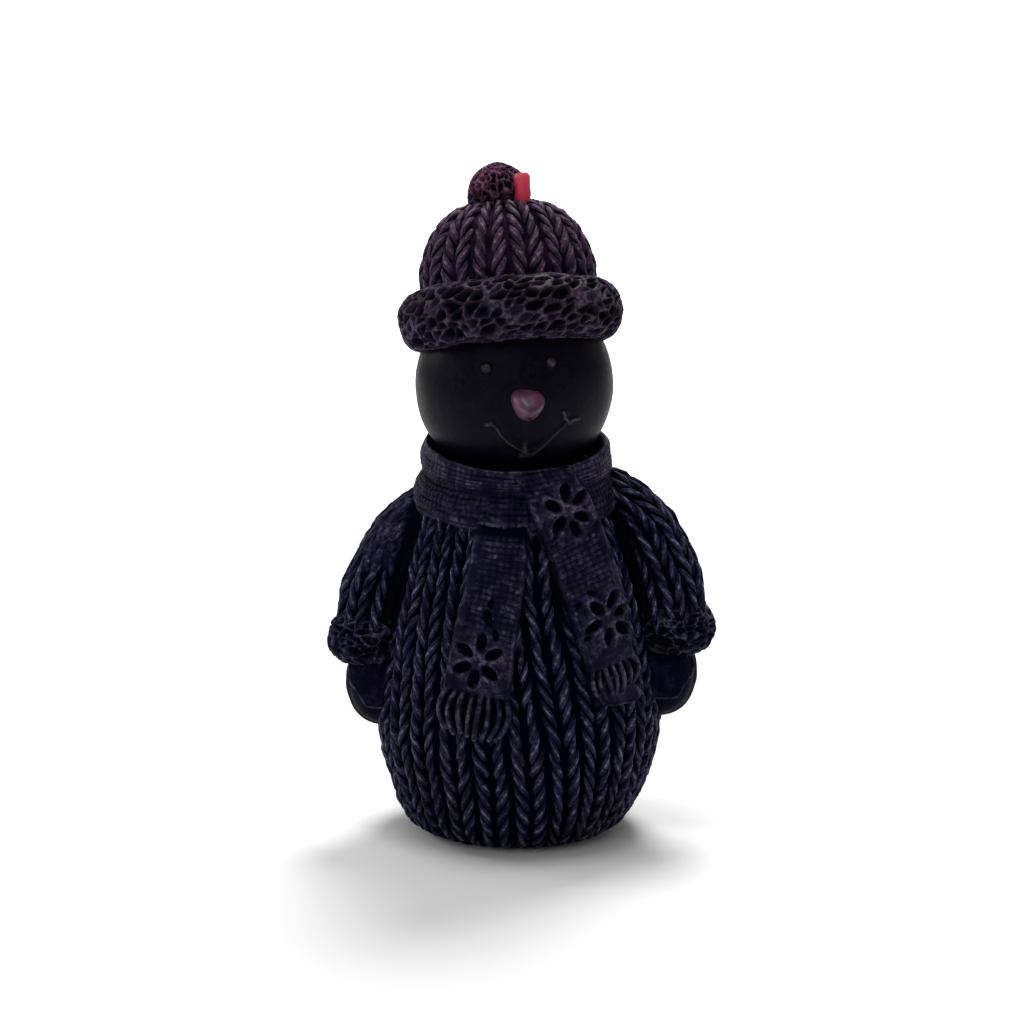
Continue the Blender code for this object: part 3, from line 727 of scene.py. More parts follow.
# the pits are longer round the brim than across it, and lean over to the right
def makeBrim():
    b = brim
    flatRows = rollRows(b["radius"], b["halfWidth"], b["halfHeight"], b["around"], b["section"])
    angle, turn = circle(b["around"])[:, None], circle(b["section"])[None, :]
    across = (turn - 2 * np.pi * (turn > np.pi)) * (b["halfWidth"] + b["halfHeight"]) / 2
    slant = b["slant"] + b["slantChange"] * np.sin(angle + 0.4) + 0 * turn
    outer = b["radius"] + b["halfWidth"]
    spun = angle - across * slant / outer
    pits = turnedPoint(outer / b["pitLength"], spun, across / b["pitWidth"])
    relief = boucleRelief(pits, 4.3, b["bend"], b["edge"])
    lumps = noiseField(flatRows, b["lumpSize"], 2.0)
    rows = pushOut(flatRows, (relief - 1.0) * b["pitDepth"] + b["lumps"] * lumps + 0.1, True)
    addLoft("brim", moveBy(hatTurn, rows), boucleWax, relief, True)


makeBrim()


def ballRows(angle, rings, power=1.0, end=88):
    turn = np.radians(np.linspace(-end, end, rings))[:, None]
    return turnedPoint(np.cos(turn) ** power, angle[None, :], np.sin(turn))


# loops are longer than wide, which the unlike scales of loop give
pompom = {"centre": (-2.8, 1.4, 104.9), "radius": 5.1, "depth": 1.0, "swell": 0.05,
          "loop": (0.95, 0.95, 0.5), "bend": 0.7, "edge": 0.5, "shade": (-0.65, 0.2)}


def makePompom():
    ball = ballRows(circle(180), 110)
    tangle = ball * pompom["radius"] * np.array(pompom["loop"])
    relief = boucleRelief(tangle, 2.37, pompom["bend"], pompom["edge"])
    swell = 1.0 + pompom["swell"] * noiseField(ball, 0.8, 5.0)
    rows = ball * (pompom["radius"] * swell - (1 - relief) * pompom["depth"])[..., None]
    shade = smoothStep(*pompom["shade"], ball[..., 2])
    addLoft("pompom", rows + np.array(pompom["centre"]), pompomWax, relief * shade)


makePompom()

cuff = {"centre": (26.1, -1.5, 33.6), "half": (6.9, 6.9, 4.5), "square": 0.55, "depth": 1.6,
        "loop": (0.42, 0.42, 0.86), "bend": 0.5, "edge": 0.40, "lumps": 0.3}


def makeCuff(side, tag):
    rows = ballRows(circle(200), 70, cuff["square"]) * np.array(cuff["half"])
    relief = boucleRelief(rows * np.array(cuff["loop"]), 3.0 + side, cuff["bend"], cuff["edge"])
    lumps = noiseField(rows, 3.0, 7.0 + side)
    rows = pushOut(rows, (relief - 1.0) * cuff["depth"] + cuff["lumps"] * lumps + 0.05)
    addLoft("cuff_" + tag, mirrored(rows + np.array(cuff["centre"]), side), boucleWax, relief)


mitten = {"centre": (24.9, -2.2, 25.6), "half": (5.1, 5.4, 7.0), "tilt": 8.0,
          "thumb": (22.1, -6.0, 26.0), "thumbHalf": (1.9, 2.0, 4.2),
          # the front of the hand, in x and z: a layer of its own over the back
          "palm": ((29.6, 31.5), (29.3, 28.1), (29.0, 26.6), (28.3, 25.8), (27.4, 24.7),
                   (26.6, 23.3), (25.5, 22.85), (21.0, 22.7)),
          "step": 0.6, "rim": 0.20, "rimAt": 0.2, "rimWidth": 0.2, "lumps": 0.12}


def distanceTo(x, z, line):
    best = np.full(x.shape, 1e9)
    for a, b in zip(line, line[1:]):
        run = b - a
        f = np.clip(((x - a[0]) * run[0] + (z - a[1]) * run[1]) / (run @ run), 0, 1)
        best = np.minimum(best, np.hypot(x - a[0] - run[0] * f, z - a[1] - run[1] * f))
    return best


def handRelief(rows, centre):
    x, z = rows[..., 0], rows[..., 2]
    line = smoothPath(mitten["palm"], 60)
    far = distanceTo(x, z, line)
    edge = np.interp(z, line[::-1, 1], line[::-1, 0])
    inside = np.where((x < edge) & (z > mitten["palm"][-1][1]), far, -far)
    front = smoothStep(0.5, -1.5, rows[..., 1] - centre[1])
    rim = inside - mitten["rimAt"]
    step = (-mitten["step"] * (1 - smoothStep(-0.35, 0.1, inside))
            + mitten["rim"] * bell(rim / mitten["rimWidth"]))
    return step * front, bell(rim / 0.22) * front


def makeHand(side, tag):
    tilt = Matrix.Rotation(math.radians(mitten["tilt"]), 3, "Y").to_4x4()
    for part, centre, half in (("mitten", mitten["centre"], mitten["half"]),
                               ("thumb", mitten["thumb"], mitten["thumbHalf"])):
        rows = moveBy(tilt, ballRows(circle(150), 100) * np.array(half)) + np.array(centre)
        crest = None
        if part == "mitten":
            height, crest = handRelief(rows, centre)
            rows = pushOut(rows, height + mitten["lumps"] * noiseField(rows, 2.5, 3.0))
        addLoft(part + "_" + tag, mirrored(rows, side), mittenWax, crest)


print("cuffs and mittens")
for makeOne in (makeCuff, makeHand):
    for side, tag in sides:
        makeOne(side, tag)


# scarf

scarf = {
    "rolls": ((57.2, 12.9, 4.0, 4.6), (62.4, 12.6, 2.9, 3.3)),
    "pitch": 9.0, "neckRadius": 11.5, "neck": (54.0, 62.8),
    "proud": 2.0, "sink": 2.0,      # of a tail's face and back, from what it lies on
    "threadAcross": 1.05, "threadAlong": 0.92, "threadDepth": 0.36,
    "threadRows": (27, 20),         # round the section of each roll
    "foldStretch": 0.22, "foldSize": 1.9, "foldDepth": 0.32, "sunkDepth": 0.25,
    "rimDrop": 1.2, "rimHeight": 3.5, "rimWidth": 0.4,
    "around": 420, "section": 110,
    # outline of the upper roll: a band whose rim stands off the chin
    "band": ((12.9, -3.3), (15.0, -2.9), (15.7, -1.0), (15.6, 1.0), (15.2, 2.8), (14.75, 3.5),
             (14.2, 3.0), (13.5, 1.2), (12.4, -0.6), (12.0, -2.4), (12.9, -3.3)),
}
tails = (
    {"tag": "left", "path": ((-2.3, 54.6), (-3.2, 46), (-5, 37), (-6.3, 28.6)),
     "widths": (8.6, 9.2, 10.1, 10.9), "flakes": (0,), "overCollar": False,
     "plainFrom": 20.6, "hemSide": -1, "fringe": 7.5, "strands": 8, "bow": 2.0,
     "nicks": ((-4.5, 40.2, 1.5, 0.75, 100), (-3.2, 37.6, 1.0, 0.5, 95), (-4.0, 42.4, 0.8, 0.5, 70))},
    {"tag": "right", "path": ((4.2, 62.3), (8.4, 54.4), (12.6, 43), (15.3, 32.2)),
     "widths": (9, 9.6, 9.2, 7.6), "flakes": (1, 2), "overCollar": True,
     "plainFrom": 26.5, "hemSide": 1, "fringe": 5.6, "strands": 7, "bow": 1.5,
     "nicks": ((11.9, 43.4, 0.9, 0.45, 150), (9.9, 41.7, 0.7, 0.45, 60), (11.2, 36.7, 0.8, 0.4, 20),
               (6.1, 52.3, 0.7, 0.4, 40))},
)
flake = {"pitHalf": (1.38, 0.78), "pitDepth": 1.3, "rimHeight": 0.28, "pad": (4.3, 5.2),
         "padRough": 0.15}
flakes = (   # centre x, z, then each pit's offset from it
    ((-5.93, 33.73), ((0.56, 2.77), (2.41, 1.02), (1.82, -1.82), (-0.62, -2.84),
                      (-2.4, -1.08), (-1.98, 1.54))),
    ((14.42, 39.5), ((0.67, 2.6), (-1.75, 1.5), (-2.3, -1.2), (0.14, -3.0),
                     (2.28, -2.0), (2.3, 0.9))),
    ((7.93, 55.95), ((-0.33, 3.1), (2.13, 2.19), (2.39, -0.73), (1.38, -2.54),
                     (-1.26, -1.88), (-2.15, 1.1))),
)


def collarRadius(height):
    reach = np.zeros_like(height)
    for z, centre, halfWidth, halfHeight in scarf["rolls"]:
        drop = centre * math.sin(math.radians(scarf["pitch"]))
        off = (height - z + drop) / halfHeight
        reach = np.maximum(reach, np.where(np.abs(off) < 1, centre + halfWidth
                                           * np.sqrt(np.clip(1 - off * off, 0, 1)), 0))
    return reach


def drapePoint(x, height, proud, overCollar=True):
    reach = np.interp(height, bodyLine[:, 1], bodyLine[:, 0], right=0.0)
    reach = np.maximum(reach, scarf["neckRadius"])
    if overCollar:
        reach = np.maximum(reach, collarRadius(height))
    lean = np.arcsin(np.clip(x / (reach + scarf["proud"]), -0.95, 0.95))
    reach = reach + proud
    return turnedPoint(reach, lean, height, body["flatten"])


# rows of short dashes across the cloth
def weave(across, along):
    row = np.abs(np.sin(np.pi * along / scarf["threadAlong"])) ** 0.55
    return row * (0.25 + 0.75 * np.abs(np.sin(np.pi * across / scarf["threadAcross"])) ** 0.4)


def almond(dx, dz, halfLength, halfWidth, direction):
    ux, uz = direction
    alongPit, acrossPit = dx * ux + dz * uz, -dx * uz + dz * ux
    return (alongPit / halfLength) ** 2 + (acrossPit / halfWidth) ** 2


# pits of one snowflake, and the raised rims that branch round them
def flakeRelief(x, z, number):
    (cx, cz), pits = flakes[number]
    pit, rim = np.zeros_like(x), np.zeros_like(x)
    for px, pz in pits:
        length = math.hypot(px, pz)
        shape = almond(x - cx - px, z - cz - pz, *flake["pitHalf"], (px / length, pz / length))
        pit = np.maximum(pit, 1 - smoothStep(0.6, 1.15, shape))
        rim = np.maximum(rim, smoothStep(0.9, 1.5, shape) * (1 - smoothStep(2.2, 3.6, shape)))
    pad = 1 - smoothStep(*flake["pad"], np.hypot(x - cx, z - cz))
    return pit, rim * (1 - pit) * pad, pad


cloth = {
    "wander": ((0.18, 1.7), (0.22, 2.3)),               # of the threads, across and along
    "hem": (1.5, 0.45), "hemRise": 0.14,                # width on one side and on the other
    "rough": 0.18, "roughSize": 1.4, "plainBlend": 0.8,  # where the threads have run together
    "bevel": 0.7, "tucked": (1.6, 3.4), "tuckDepth": 1.6, "nickDepth": 0.8, "backColumns": 12,
    "squareNeck": 3.0, "squareTo": 0.22,                # the end at the neck is cut level
}


# the tail's outline as x and z, with the distances across, along and in from the edge
def tailPlan(tail, columns, rows):
    path = smoothPath(tail["path"], 40)
    t = np.linspace(0, 1, rows)[:, None]
    s = thereAndBack(columns, cloth["backColumns"])
    run = unit(readLine(path, t[:, 0] + 0.04) - readLine(path, t[:, 0] - 0.04))
    half = readLine(np.array(tail["widths"], float), t[:, 0])[:, None] / 2
    offset = half * s
    level = np.array((cloth["squareNeck"], 0.0)) * (1 - smoothStep(0.0, cloth["squareTo"], t))
    square = unit(np.stack((-run[:, 1], run[:, 0]), -1) + level * tail["overCollar"])
    centre = readLine(path, t[:, 0])
    x, z = centre[:, :1] + square[:, :1] * offset, centre[:, 1:] + square[:, 1:] * offset
    return x, z, s, offset, t * lineLength(path) + 0 * s, half * (1 - np.abs(s))


def tailRows(tail, columns=90, rows=260):
    x, z, s, offset, along, edge = tailPlan(tail, columns, rows)
    hemWidth = np.where(s * tail["hemSide"] > 0, *cloth["hem"])
    hem = 1 - smoothStep(hemWidth - 0.15, hemWidth + 0.25, edge)
    blend = cloth["plainBlend"]
    plain = smoothStep(tail["plainFrom"] - blend, tail["plainFrom"] + blend,
                       along + blend * noiseField(flatPoint(x, z), 2.0, 1.0))
    bare = np.maximum(hem, plain)
    snow = [flakeRelief(x, z, number) for number in tail["flakes"]]
    for _, _, pad in snow:
        bare = np.maximum(bare, pad)
    place = flatPoint(offset, along)
    (acrossBy, acrossSize), (alongBy, alongSize) = cloth["wander"]
    threads = weave(offset + acrossBy * noiseField(place, acrossSize, 3.0),
                    along + alongBy * noiseField(place, alongSize, 5.0))
    threads = threads * (0.75 + 0.45 * noiseField(place, 1.3, 8.0))
    rough = noiseField(place, cloth["roughSize"], 12.0)
    height = (scarf["threadDepth"] * (threads - 0.6) * (1 - bare)
              + (0.05 + cloth["rough"] * rough) * bare + cloth["hemRise"] * hem)
    crest = (0.02 + 0.95 * threads) * (1 - bare) + (0.45 + 0.45 * rough) * bare
    crest = crest + 0.4 * bell((edge - 0.5) / 0.25)
    # the pits lose their crest, a painted shade, and the rims gain it, bloom and painted highlight
    for pit, rim, pad in snow:
        height = height + flake["rimHeight"] * rim + flake["padRough"] * pad * rough
        height = height * (1 - pit) - flake["pitDepth"] * pit
        crest = np.maximum(crest, pad * (0.62 + 0.35 * rough))
        crest = np.maximum(crest, rim * (0.95 + 0.3 * rough)) * (1 - smoothStep(0.0, 0.45, pit))
    # the nicks are pressed in and lose their crest: painted shade in them
    for nx, nz, halfLength, halfWidth, degrees in tail["nicks"]:
        lean = (math.cos(math.radians(degrees)), math.sin(math.radians(degrees)))
        nick = 1 - smoothStep(0.5, 1.2, almond(x - nx, z - nz, halfLength, halfWidth, lean))
        height = height * (1 - nick) - cloth["nickDepth"] * nick
        crest = crest * (1 - nick)
    if not tail["overCollar"]:      # comes out from under the collar, with painted shadow where the collar hangs over it
        under = 1 - smoothStep(*cloth["tucked"], along)
        height = height - cloth["tuckDepth"] * under
        crest = crest * (1 - under)
    height = height - cloth["bevel"] * (1 - smoothStep(0.0, 0.5, edge))
    back = np.arange(s.shape[1])[None, :] >= columns
    points = drapePoint(x, z, np.where(back, -scarf["sink"], scarf["proud"] + height),
                        tail["overCollar"])
    return points, np.where(back, 0, np.clip(crest, 0, 1))


fringe = {
    "tuck": 1.2, "spread": 0.86, "inset": 0.4, "backInset": 0.7,
    "radius": 0.53, "uneven": 0.12, "deep": 1.5,        # times as deep as wide
    "lift": 0.45, "arch": 0.95, "drop": 0.4,            # height at the top, middle and end
    "rings": 30, "sides": 14,
}


def tailEnd(tail):
    end, before = np.array(tail["path"][-1], float), np.array(tail["path"][-2], float)
    run = unit(end - before)
    return end, run, np.array((-run[1], run[0]))


# one soft strand of the fringe, as rings along its path
def fringeRows(tail, number):
    f = fringe
    end, run, side = tailEnd(tail)
    share = -1 + 2 * (number + 0.5) / tail["strands"]
    half = tail["widths"][-1] / 2 - f["inset"]
    start = end + side * half * share * f["spread"] - run * f["tuck"]
    reach = tail["fringe"] + f["tuck"] + 0.3 * math.sin(number * 2.1) - 0.9 * share ** 4
    t = np.linspace(0, 1, f["rings"])
    bow = (tail["bow"] * np.sin(np.pi * t) * share + 0.1 * share * t
           + 0.10 * np.sin(5.0 * t + number * 1.9))
    middle = start + run * (reach * t)[:, None] + side * bow[:, None]
    lift = (f["lift"] + f["arch"] * np.sin(np.pi * np.clip(t * 0.92, 0, 1))
            - f["drop"] * t ** 3)
    line = drapePoint(middle[:, 0], middle[:, 1], lift, False)
    blunt = np.sqrt(np.clip(1 - (2 * t - 1) ** 16, 0.05, 1))
    size = f["radius"] * (1 + f["uneven"] * math.sin(number * 3.7)) * blunt
    out = unit(drapePoint(middle[:, 0], middle[:, 1], lift + 1.0, False) - line)
    angle = circle(f["sides"])
    rows = tubeRows(line, out, angle, size[:, None], size[:, None] * f["deep"])
    crest = np.clip(np.sin(angle) * 1.6 - 0.6, 0, 1)[None, :] + 0.7 * smoothStep(0.86, 0.95, t)[:, None]
    return rows, np.clip(crest, 0, 1)


# what lies behind the strands, so that no knitting shows between them; with no crest it takes the black
# hollow colour, a painted shade between the strands
def fringeBack(tail):
    end, run, side = tailEnd(tail)
    t = np.linspace(0, 1, 16)[:, None]
    s = thereAndBack(20, 20)
    back = np.arange(40)[None, :] >= 20
    half = (tail["widths"][-1] / 2 - fringe["backInset"]) * (0.9 + 0.32 * np.sin(np.pi * t))
    down = (tail["fringe"] - 0.6) * t + 0 * s
    spot = (end - run * 0.8) + run * down[..., None] + side * (half * s)[..., None]
    proud = np.where(back, -scarf["sink"], 0.35 * np.sin(np.pi * np.clip(t, 0, 1)) + 0.1)
    return drapePoint(spot[..., 0], spot[..., 1], proud + 0 * s, False)


# smooth flap with a raised rim, where the strands of the right tail have run together
flap = {"centre": (16.6, 27.6), "half": (3.7, 2.4), "lean": 16.0, "proud": 1.25, "rim": 0.4,
        "corners": 0.13, "edgeDrop": 0.9}


def flapRows():
    turn = circle(60)[None, :]
    share = np.concatenate((np.linspace(0.04, 1, 26), np.linspace(0.98, 0.04, 8)))[:, None]
    back = (np.arange(34) >= 26)[:, None]
    corner = 1 + flap["corners"] * np.cos(3 * turn + 0.5)
    u = flap["half"][0] * share * corner * np.cos(turn)
    v = flap["half"][1] * share * corner * np.sin(turn)
    lean = math.radians(flap["lean"])
    x = flap["centre"][0] + u * math.cos(lean) + v * math.sin(lean)
    z = flap["centre"][1] - u * math.sin(lean) + v * math.cos(lean)
    rim = bell((share - 0.9) / 0.07) + 0 * turn
    height = flap["proud"] + flap["rim"] * rim - flap["edgeDrop"] * (share > 0.97)
    return (drapePoint(x, z, np.where(back, -scarf["sink"], height), False),
            np.where(back, 0, 0.5 + 0.5 * rim))


def joinMeshes(meshes):
    bm = bmesh.new()
    for mesh in meshes:
        bm.from_mesh(mesh)
        bpy.data.meshes.remove(mesh)
    joined = bpy.data.meshes.new("joined")
    bm.to_mesh(joined)
    bm.free()
    joined.shade_smooth()
    return joined


pitchTurn = Matrix.Rotation(math.radians(scarf["pitch"]), 4, "X")
bandLine = smoothPath(scarf["band"], scarf["section"], 400)[:-1]


# the upper roll, whose rim is lower in front, under the chin
def bandRows(angle):
    front = (0.5 + 0.5 * np.cos(angle)) ** 2
    drop = scarf["rimDrop"] * front * smoothStep(-1.5, 2.5, bandLine[:, 1])
    return turnedPoint(bandLine[:, 0], angle, bandLine[:, 1] - drop)


def makeCollar(number, flatRows, angle):
    z, radius, halfWidth, _ = scarf["rolls"][number]
    threads = round(2 * np.pi * (radius + halfWidth) / scarf["threadAcross"])
    alongRoll = angle / (2 * np.pi) * threads * scarf["threadAcross"]
    section = scarf["section"]
    acrossRoll = (np.arange(section)[None, :] / section * scarf["threadRows"][number]
                  * scarf["threadAlong"])
    wander = 0.25 * noiseField(flatRows, 2.0, 5.0 + number)
    threads = weave(alongRoll + wander, acrossRoll + wander)
    # long soft folds that run round the neck
    stretch = np.array((scarf["foldStretch"], scarf["foldStretch"], 1.0))
    folds = noiseField(flatRows * stretch, scarf["foldSize"], 3.0 + number)
    rim = bell((bandLine[:, 1] - scarf["rimHeight"]) / scarf["rimWidth"]) * number
    rim = rim + 0 * angle
    # between the upper edge and the lower border the cloth sinks into a fold, darkened there with
    # painted shade
    level = flatRows[..., 2] + 0.9 * noiseField(flatRows, 3.0, 8.0)
    sunk = smoothStep(-0.6, 0.7, level) if number == 0 else 1 - smoothStep(-1.4, 0.4, level)
    height = (scarf["threadDepth"] * (threads - 0.6) * (1 - rim) + scarf["foldDepth"] * folds
              - 0.05 - scarf["sunkDepth"] * sunk)
    rows = pushOut(flatRows, height, True)
    crest = ((0.05 + 0.85 * threads + 0.35 * folds) * (1 - 0.45 * sunk)) * (1 - rim) + 0.9 * rim
    rows = moveBy(Matrix.Translation((0, 0, z)) @ pitchTurn, rows)
    addLoft("collar_%d" % number, rows, scarfWax, np.clip(crest, 0, 1), True)


def makeNeck():
    low, high = scarf["neck"]
    size = np.array((scarf["neckRadius"], scarf["neckRadius"], (high - low) / 2))
    matrix = Matrix.Translation((0, 0, (low + high) / 2)) @ pitchTurn
    addLoft("neck", moveBy(matrix, ballRows(circle(60), 24, 0.25) * size), coreWax)


def makeTail(tail):
    rows, crest = tailRows(tail)
    addLoft("tail_" + tail["tag"], rows, scarfWax, crest)
    strands = [loftMesh(fringeBack(tail))]
    strands += [loftMesh(*fringeRows(tail, k)) for k in range(tail["strands"])]
    if tail["tag"] == "right":
        strands.append(loftMesh(*flapRows()))
    addPiece("fringe_" + tail["tag"], joinMeshes(strands), scarfWax)


print("scarf")
angle = circle(scarf["around"])[:, None]
lowerRoll = rollRows(*scarf["rolls"][0][1:], scarf["around"], scarf["section"])
makeCollar(0, lowerRoll, angle)
makeCollar(1, bandRows(angle), angle)
makeNeck()
for tail in tails:
    makeTail(tail)


# head and face

face = {
    "centre": (-0.3, 0.0, 74.5), "radius": 16.1, "around": 460, "rings": 300,
    "eyes": ((-4.6, 78.45), (5.3, 79.3)), "eyeRadius": 0.85, "eyeRise": 0.55, "eyeHighlight": 0.62,
    "mouth": ((-3.9, 69.85), (-3.15, 69.3), (-2.1, 67.7), (-0.6, 66.4), (1.7, 65.1), (2.9, 65.2),
              (4.0, 65.85), (5.9, 67.8), (7.45, 69.3), (8.2, 69.9)),
    "creaseShift": (0.1, 0.8),      # the hollow runs this far beside the lower lip
    "nose": (1.7, 73.4),
    # line, then rise, half width and painted highlight of each further mark
    "marks": ((((7.35, 71.5), (7.6, 70.6), (8.2, 69.9)), 0.28, 0.28, 0.62),
              (((8.2, 69.9), (9.6, 70.3)), 0.28, 0.28, 0.6),
              (((-4.6, 69.65), (-3.9, 69.85)), 0.28, 0.34, 0.65),
              (((1.33, 70.2), (1.26, 68.0), (1.5, 65.3)), 0.15, 0.2, 0.2),
              (((1.3, 66.6), (1.5, 65.2)), 0.2, 0.42, 0.5),
              (((0.7, 64.75), (2.8, 64.75)), 0.35, 0.6, 0.45)),
}


def facePoint(x, z, rise=0.0):
    centre = np.array(face["centre"])
    dx, dz = x - centre[0], z - centre[2]
    front = np.array((dx, -math.sqrt(face["radius"] ** 2 - dx * dx - dz * dz), dz))
    return centre + front * (1.0 + rise / face["radius"])


def faceRelief(x, z):
    # crest here is a painted highlight on the eye domes and the lines of the mouth
    relief, crest = np.zeros(x.shape), np.zeros(x.shape)
    for ex, ez in face["eyes"]:
        far = np.hypot(x - ex, z - ez)
        relief -= 0.12 * bell((far - 1.1) / 0.3)      # ring pressed round the eye
        dome = np.sqrt(np.clip(1 - (far / face["eyeRadius"]) ** 2, 0, 1))
        relief += face["eyeRise"] * dome
        crest = np.maximum(crest, face["eyeHighlight"] * dome)
    smile = smoothPath(face["mouth"], 48)
    crease = smile + np.array(face["creaseShift"])
    for line, rise, width, paintedHighlight in ((crease, -0.16, 0.5, 0.0), (smile, 0.32, 0.26, 0.45),
                                    *face["marks"]):
        bump = bell(distanceTo(x, z, np.array(line)) / width)
        relief = relief + rise * bump
        crest = np.maximum(crest, paintedHighlight * bump)
    return relief, crest


def makeHead():
    spin = np.linspace(-np.pi, np.pi, face["around"], endpoint=False)
    spin = spin - 0.6 * np.sin(spin)          # closer columns in front
    ball = ballRows(spin, face["rings"], end=88.5)
    rows = ball * face["radius"] + np.array(face["centre"])
    relief, crest = faceRelief(rows[..., 0], rows[..., 2])
    front = rows[..., 1] < 0
    relief = (np.where(front, relief, 0) + 0.10 * noiseField(rows, 5.0, 1.0)
              + 0.02 * noiseField(rows, 1.2, 4.0))
    addLoft("head", rows + ball * relief[..., None], satinWax,
            np.where(front, np.clip(crest, 0, 1), 0))


print("head")
makeHead()


nose = {
    "length": 4.4, "root": 1.8, "droop": 9.0, "flatten": 0.9,
    # radius, then share of the way from root to tip
    "outline": ((2.5, 0), (2.75, 0.3), (2.5, 0.55), (1.8, 0.78), (0.9, 0.95), (0.05, 1)),
    "triangle": 0.10, "lumps": 0.04,
    "colors": ((0.35, (0.033, 0.006, 0.022)), (0.7, (0.112, 0.024, 0.072))),
    "roughness": 0.46, "glow": 0.15, "glowReach": (0.0012, 0.0004, 0.0008),
}


def pinkWax():
    material, tree, shader = newMaterial("pink wax")
    cloud = noiseNode(tree, objectPlace(tree), 450.0, 3.0)
    feed(tree, shader, {
        "Base Color": rampColors(tree, cloud, nose["colors"]), "Roughness": nose["roughness"],
        "Normal": bumpNormal(tree, cloud, 0.25, 0.05), "Subsurface Weight": nose["glow"],
        "Subsurface Radius": nose["glowReach"], "Subsurface Scale": 1.0})
    return material


def makeNose():
    root = Vector(facePoint(*face["nose"], rise=-nose["root"]))
    out = (root - Vector(face["centre"])).normalized()
    axis = (Matrix.Rotation(math.radians(nose["droop"]), 3, "X") @ out).normalized()
    length = nose["root"] + nose["length"]
    outline = smoothPath([(radius, length * share) for radius, share in nose["outline"]], 40)
    spin = circle(48)[None, :]
    rows = np.stack((outline[:, :1] * np.cos(spin), outline[:, :1] * np.sin(spin),
                     outline[:, 1:] + 0 * spin), -1)
    # rounded triangle with one corner down
    corner = (0.94 + nose["triangle"] * np.sin(3 * spin)
              + nose["lumps"] * noiseField(rows, 2.2, 6.0))
    rows[..., :2] *= corner[..., None] * np.array((1.0, nose["flatten"]))
    matrix = (Matrix.Translation(root)
              @ Vector((0, 0, 1)).rotation_difference(axis).to_matrix().to_4x4())
    addLoft("nose_drop", moveBy(matrix, rows), pinkWax(), node="nose", slot="pink_wax")


makeNose()

wick = {
    "path": ((0.9, -2.5, 0.1), (0.9, -2.5, 98.0), (1.0, -2.5, 103.5),
             (1.0, -2.45, 106.2), (0.8, -2.35, 108.3)),
    "radius": 1.3, "tip": (0.97, 0.88, 0.68), "strands": 3, "twist": 0.035, "lay": 0.55,
    # from where it leaves the hat up to its end: darker low down as painted shade, lighter at the cut
    # end as a painted highlight
    "colorHeights": (0.1015, 0.1085),
    "colors": ((0.0, (0.38, 0.001, 0.028)), (0.7, (0.50, 0.012, 0.048)), (1.0, (0.52, 0.06, 0.085))),
}


def wickCoat():
    material, tree, shader = newMaterial("wick coat")
    place = objectPlace(tree)
    height = remap(tree, heightOf(tree, place), *wick["colorHeights"], curve="LINEAR")
    fibres = noiseNode(tree, place, 900.0, 2.0)
    feed(tree, shader, {"Base Color": rampColors(tree, height, wick["colors"]),
                        "Normal": bumpNormal(tree, fibres, 0.4, 0.06), "Roughness": 0.45})
    return material


def makeWick():
    line = np.vstack((np.array(wick["path"][:1], float), smoothPath(wick["path"][1:], 44)))
    angle = circle(32)
    size = np.full(len(line), wick["radius"])
    size[-3:] = wick["radius"] * np.array(wick["tip"])
    along = np.arange(len(line))[:, None]
    reach = size[:, None] * (1 + wick["twist"] * np.sin(wick["strands"] * angle[None, :]
                                                        + along * wick["lay"]))
    rows = tubeRows(line, np.array((0.0, 1.0, 0.0)), angle, reach, reach)
    addLoft("wick_stub", rows, wickCoat(), node="wick", slot="wick_coat")


print("wick")
makeWick()


# floor, light and camera

print("studio")
studio = {
    "paper": 0.71, "halfWidth": 2.0, "front": -1.2, "back": 1.2, "curve": 0.5, "top": 2.2,
    "world": 0.3,
    # focal length and frame width in pixels, and degrees the camera looks down
    "focal": 1975, "frame": 1024, "camera": (-0.00156, -0.3187, 0.108), "down": 9.69,
}


def paper():
    material, tree, shader = newMaterial("paper")
    feed(tree, shader, {"Base Color": [studio["paper"]] * 3, "Roughness": 0.9,
                        "Specular IOR Level": 0.0})
    return material


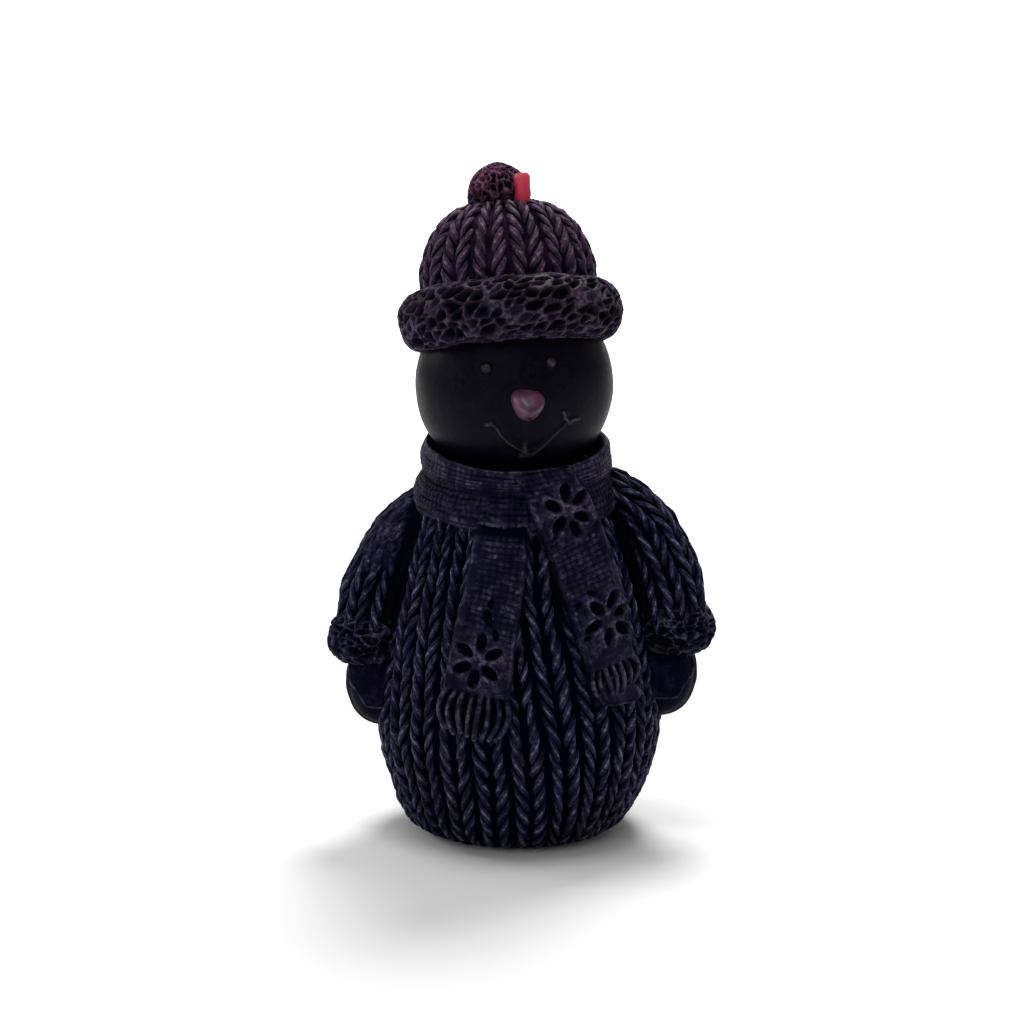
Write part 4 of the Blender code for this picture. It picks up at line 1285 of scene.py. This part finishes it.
# floor that curves up into a backdrop
def sweepFloor():
    back, curve = studio["back"], studio["curve"]
    line = [(studio["front"], 0.0), (back, 0.0)]
    for k in range(1, 17):
        turn = math.pi / 2 * k / 16
        line.append((back + curve * math.sin(turn), curve - curve * math.cos(turn)))
    line.append((back + curve, studio["top"]))
    mesh = bpy.data.meshes.new("floor")
    points = [(x, y, z) for y, z in line for x in (-studio["halfWidth"], studio["halfWidth"])]
    faces = [(2 * k, 2 * k + 1, 2 * k + 3, 2 * k + 2) for k in range(len(line) - 1)]
    mesh.from_pydata(points, [], faces)
    mesh.shade_smooth()
    mesh.materials.append(paper())
    return addObject("floor", mesh)


sweepFloor()


def areaLight(name, place, target, size, power):
    data = bpy.data.lights.new(name, "AREA")
    data.shape = "DISK"
    data.size = size
    data.energy = power
    lamp = addObject(name, data)
    lamp.location = place
    lamp.rotation_euler = (Vector(target) - Vector(place)).to_track_quat("-Z", "Y").to_euler()


# name, where it stands, what it points at, its size and its power
for lamp in (("key from behind", (0.16, 0.55, 1.15), (0, 0, 0.0), 0.5, 15.5),
             ("overhead", (-0.1, -0.10, 1.20), (0, 0, 0.05), 0.6, 6.0),
             ("left rim", (-0.85, 0.35, 0.45), (0, 0, 0.06), 0.3, 2.0),
             ("front fill", (-0.35, -0.75, 0.55), (0, 0, 0.05), 0.6, 1.6),
             ("backdrop wash", (0.0, 1.05, 0.9), (0.0, 1.7, 0.1), 0.8, 22.0)):
    areaLight(*lamp)

world = bpy.data.worlds.new("studio")
bpy.context.scene.world = world
world.use_nodes = True
feed(world.node_tree, world.node_tree.nodes["Background"],
     {"Color": (1, 1, 1), "Strength": studio["world"]})
bpy.context.scene.view_settings.view_transform = "Standard"

view = bpy.data.cameras.new("camera")
view.sensor_width = 36.0
view.lens = view.sensor_width * studio["focal"] / studio["frame"]
view.clip_start = 0.01
camera = addObject("camera", view)
camera.location = studio["camera"]
camera.rotation_euler = (math.radians(90 - studio["down"]), 0, 0)
bpy.context.scene.camera = camera
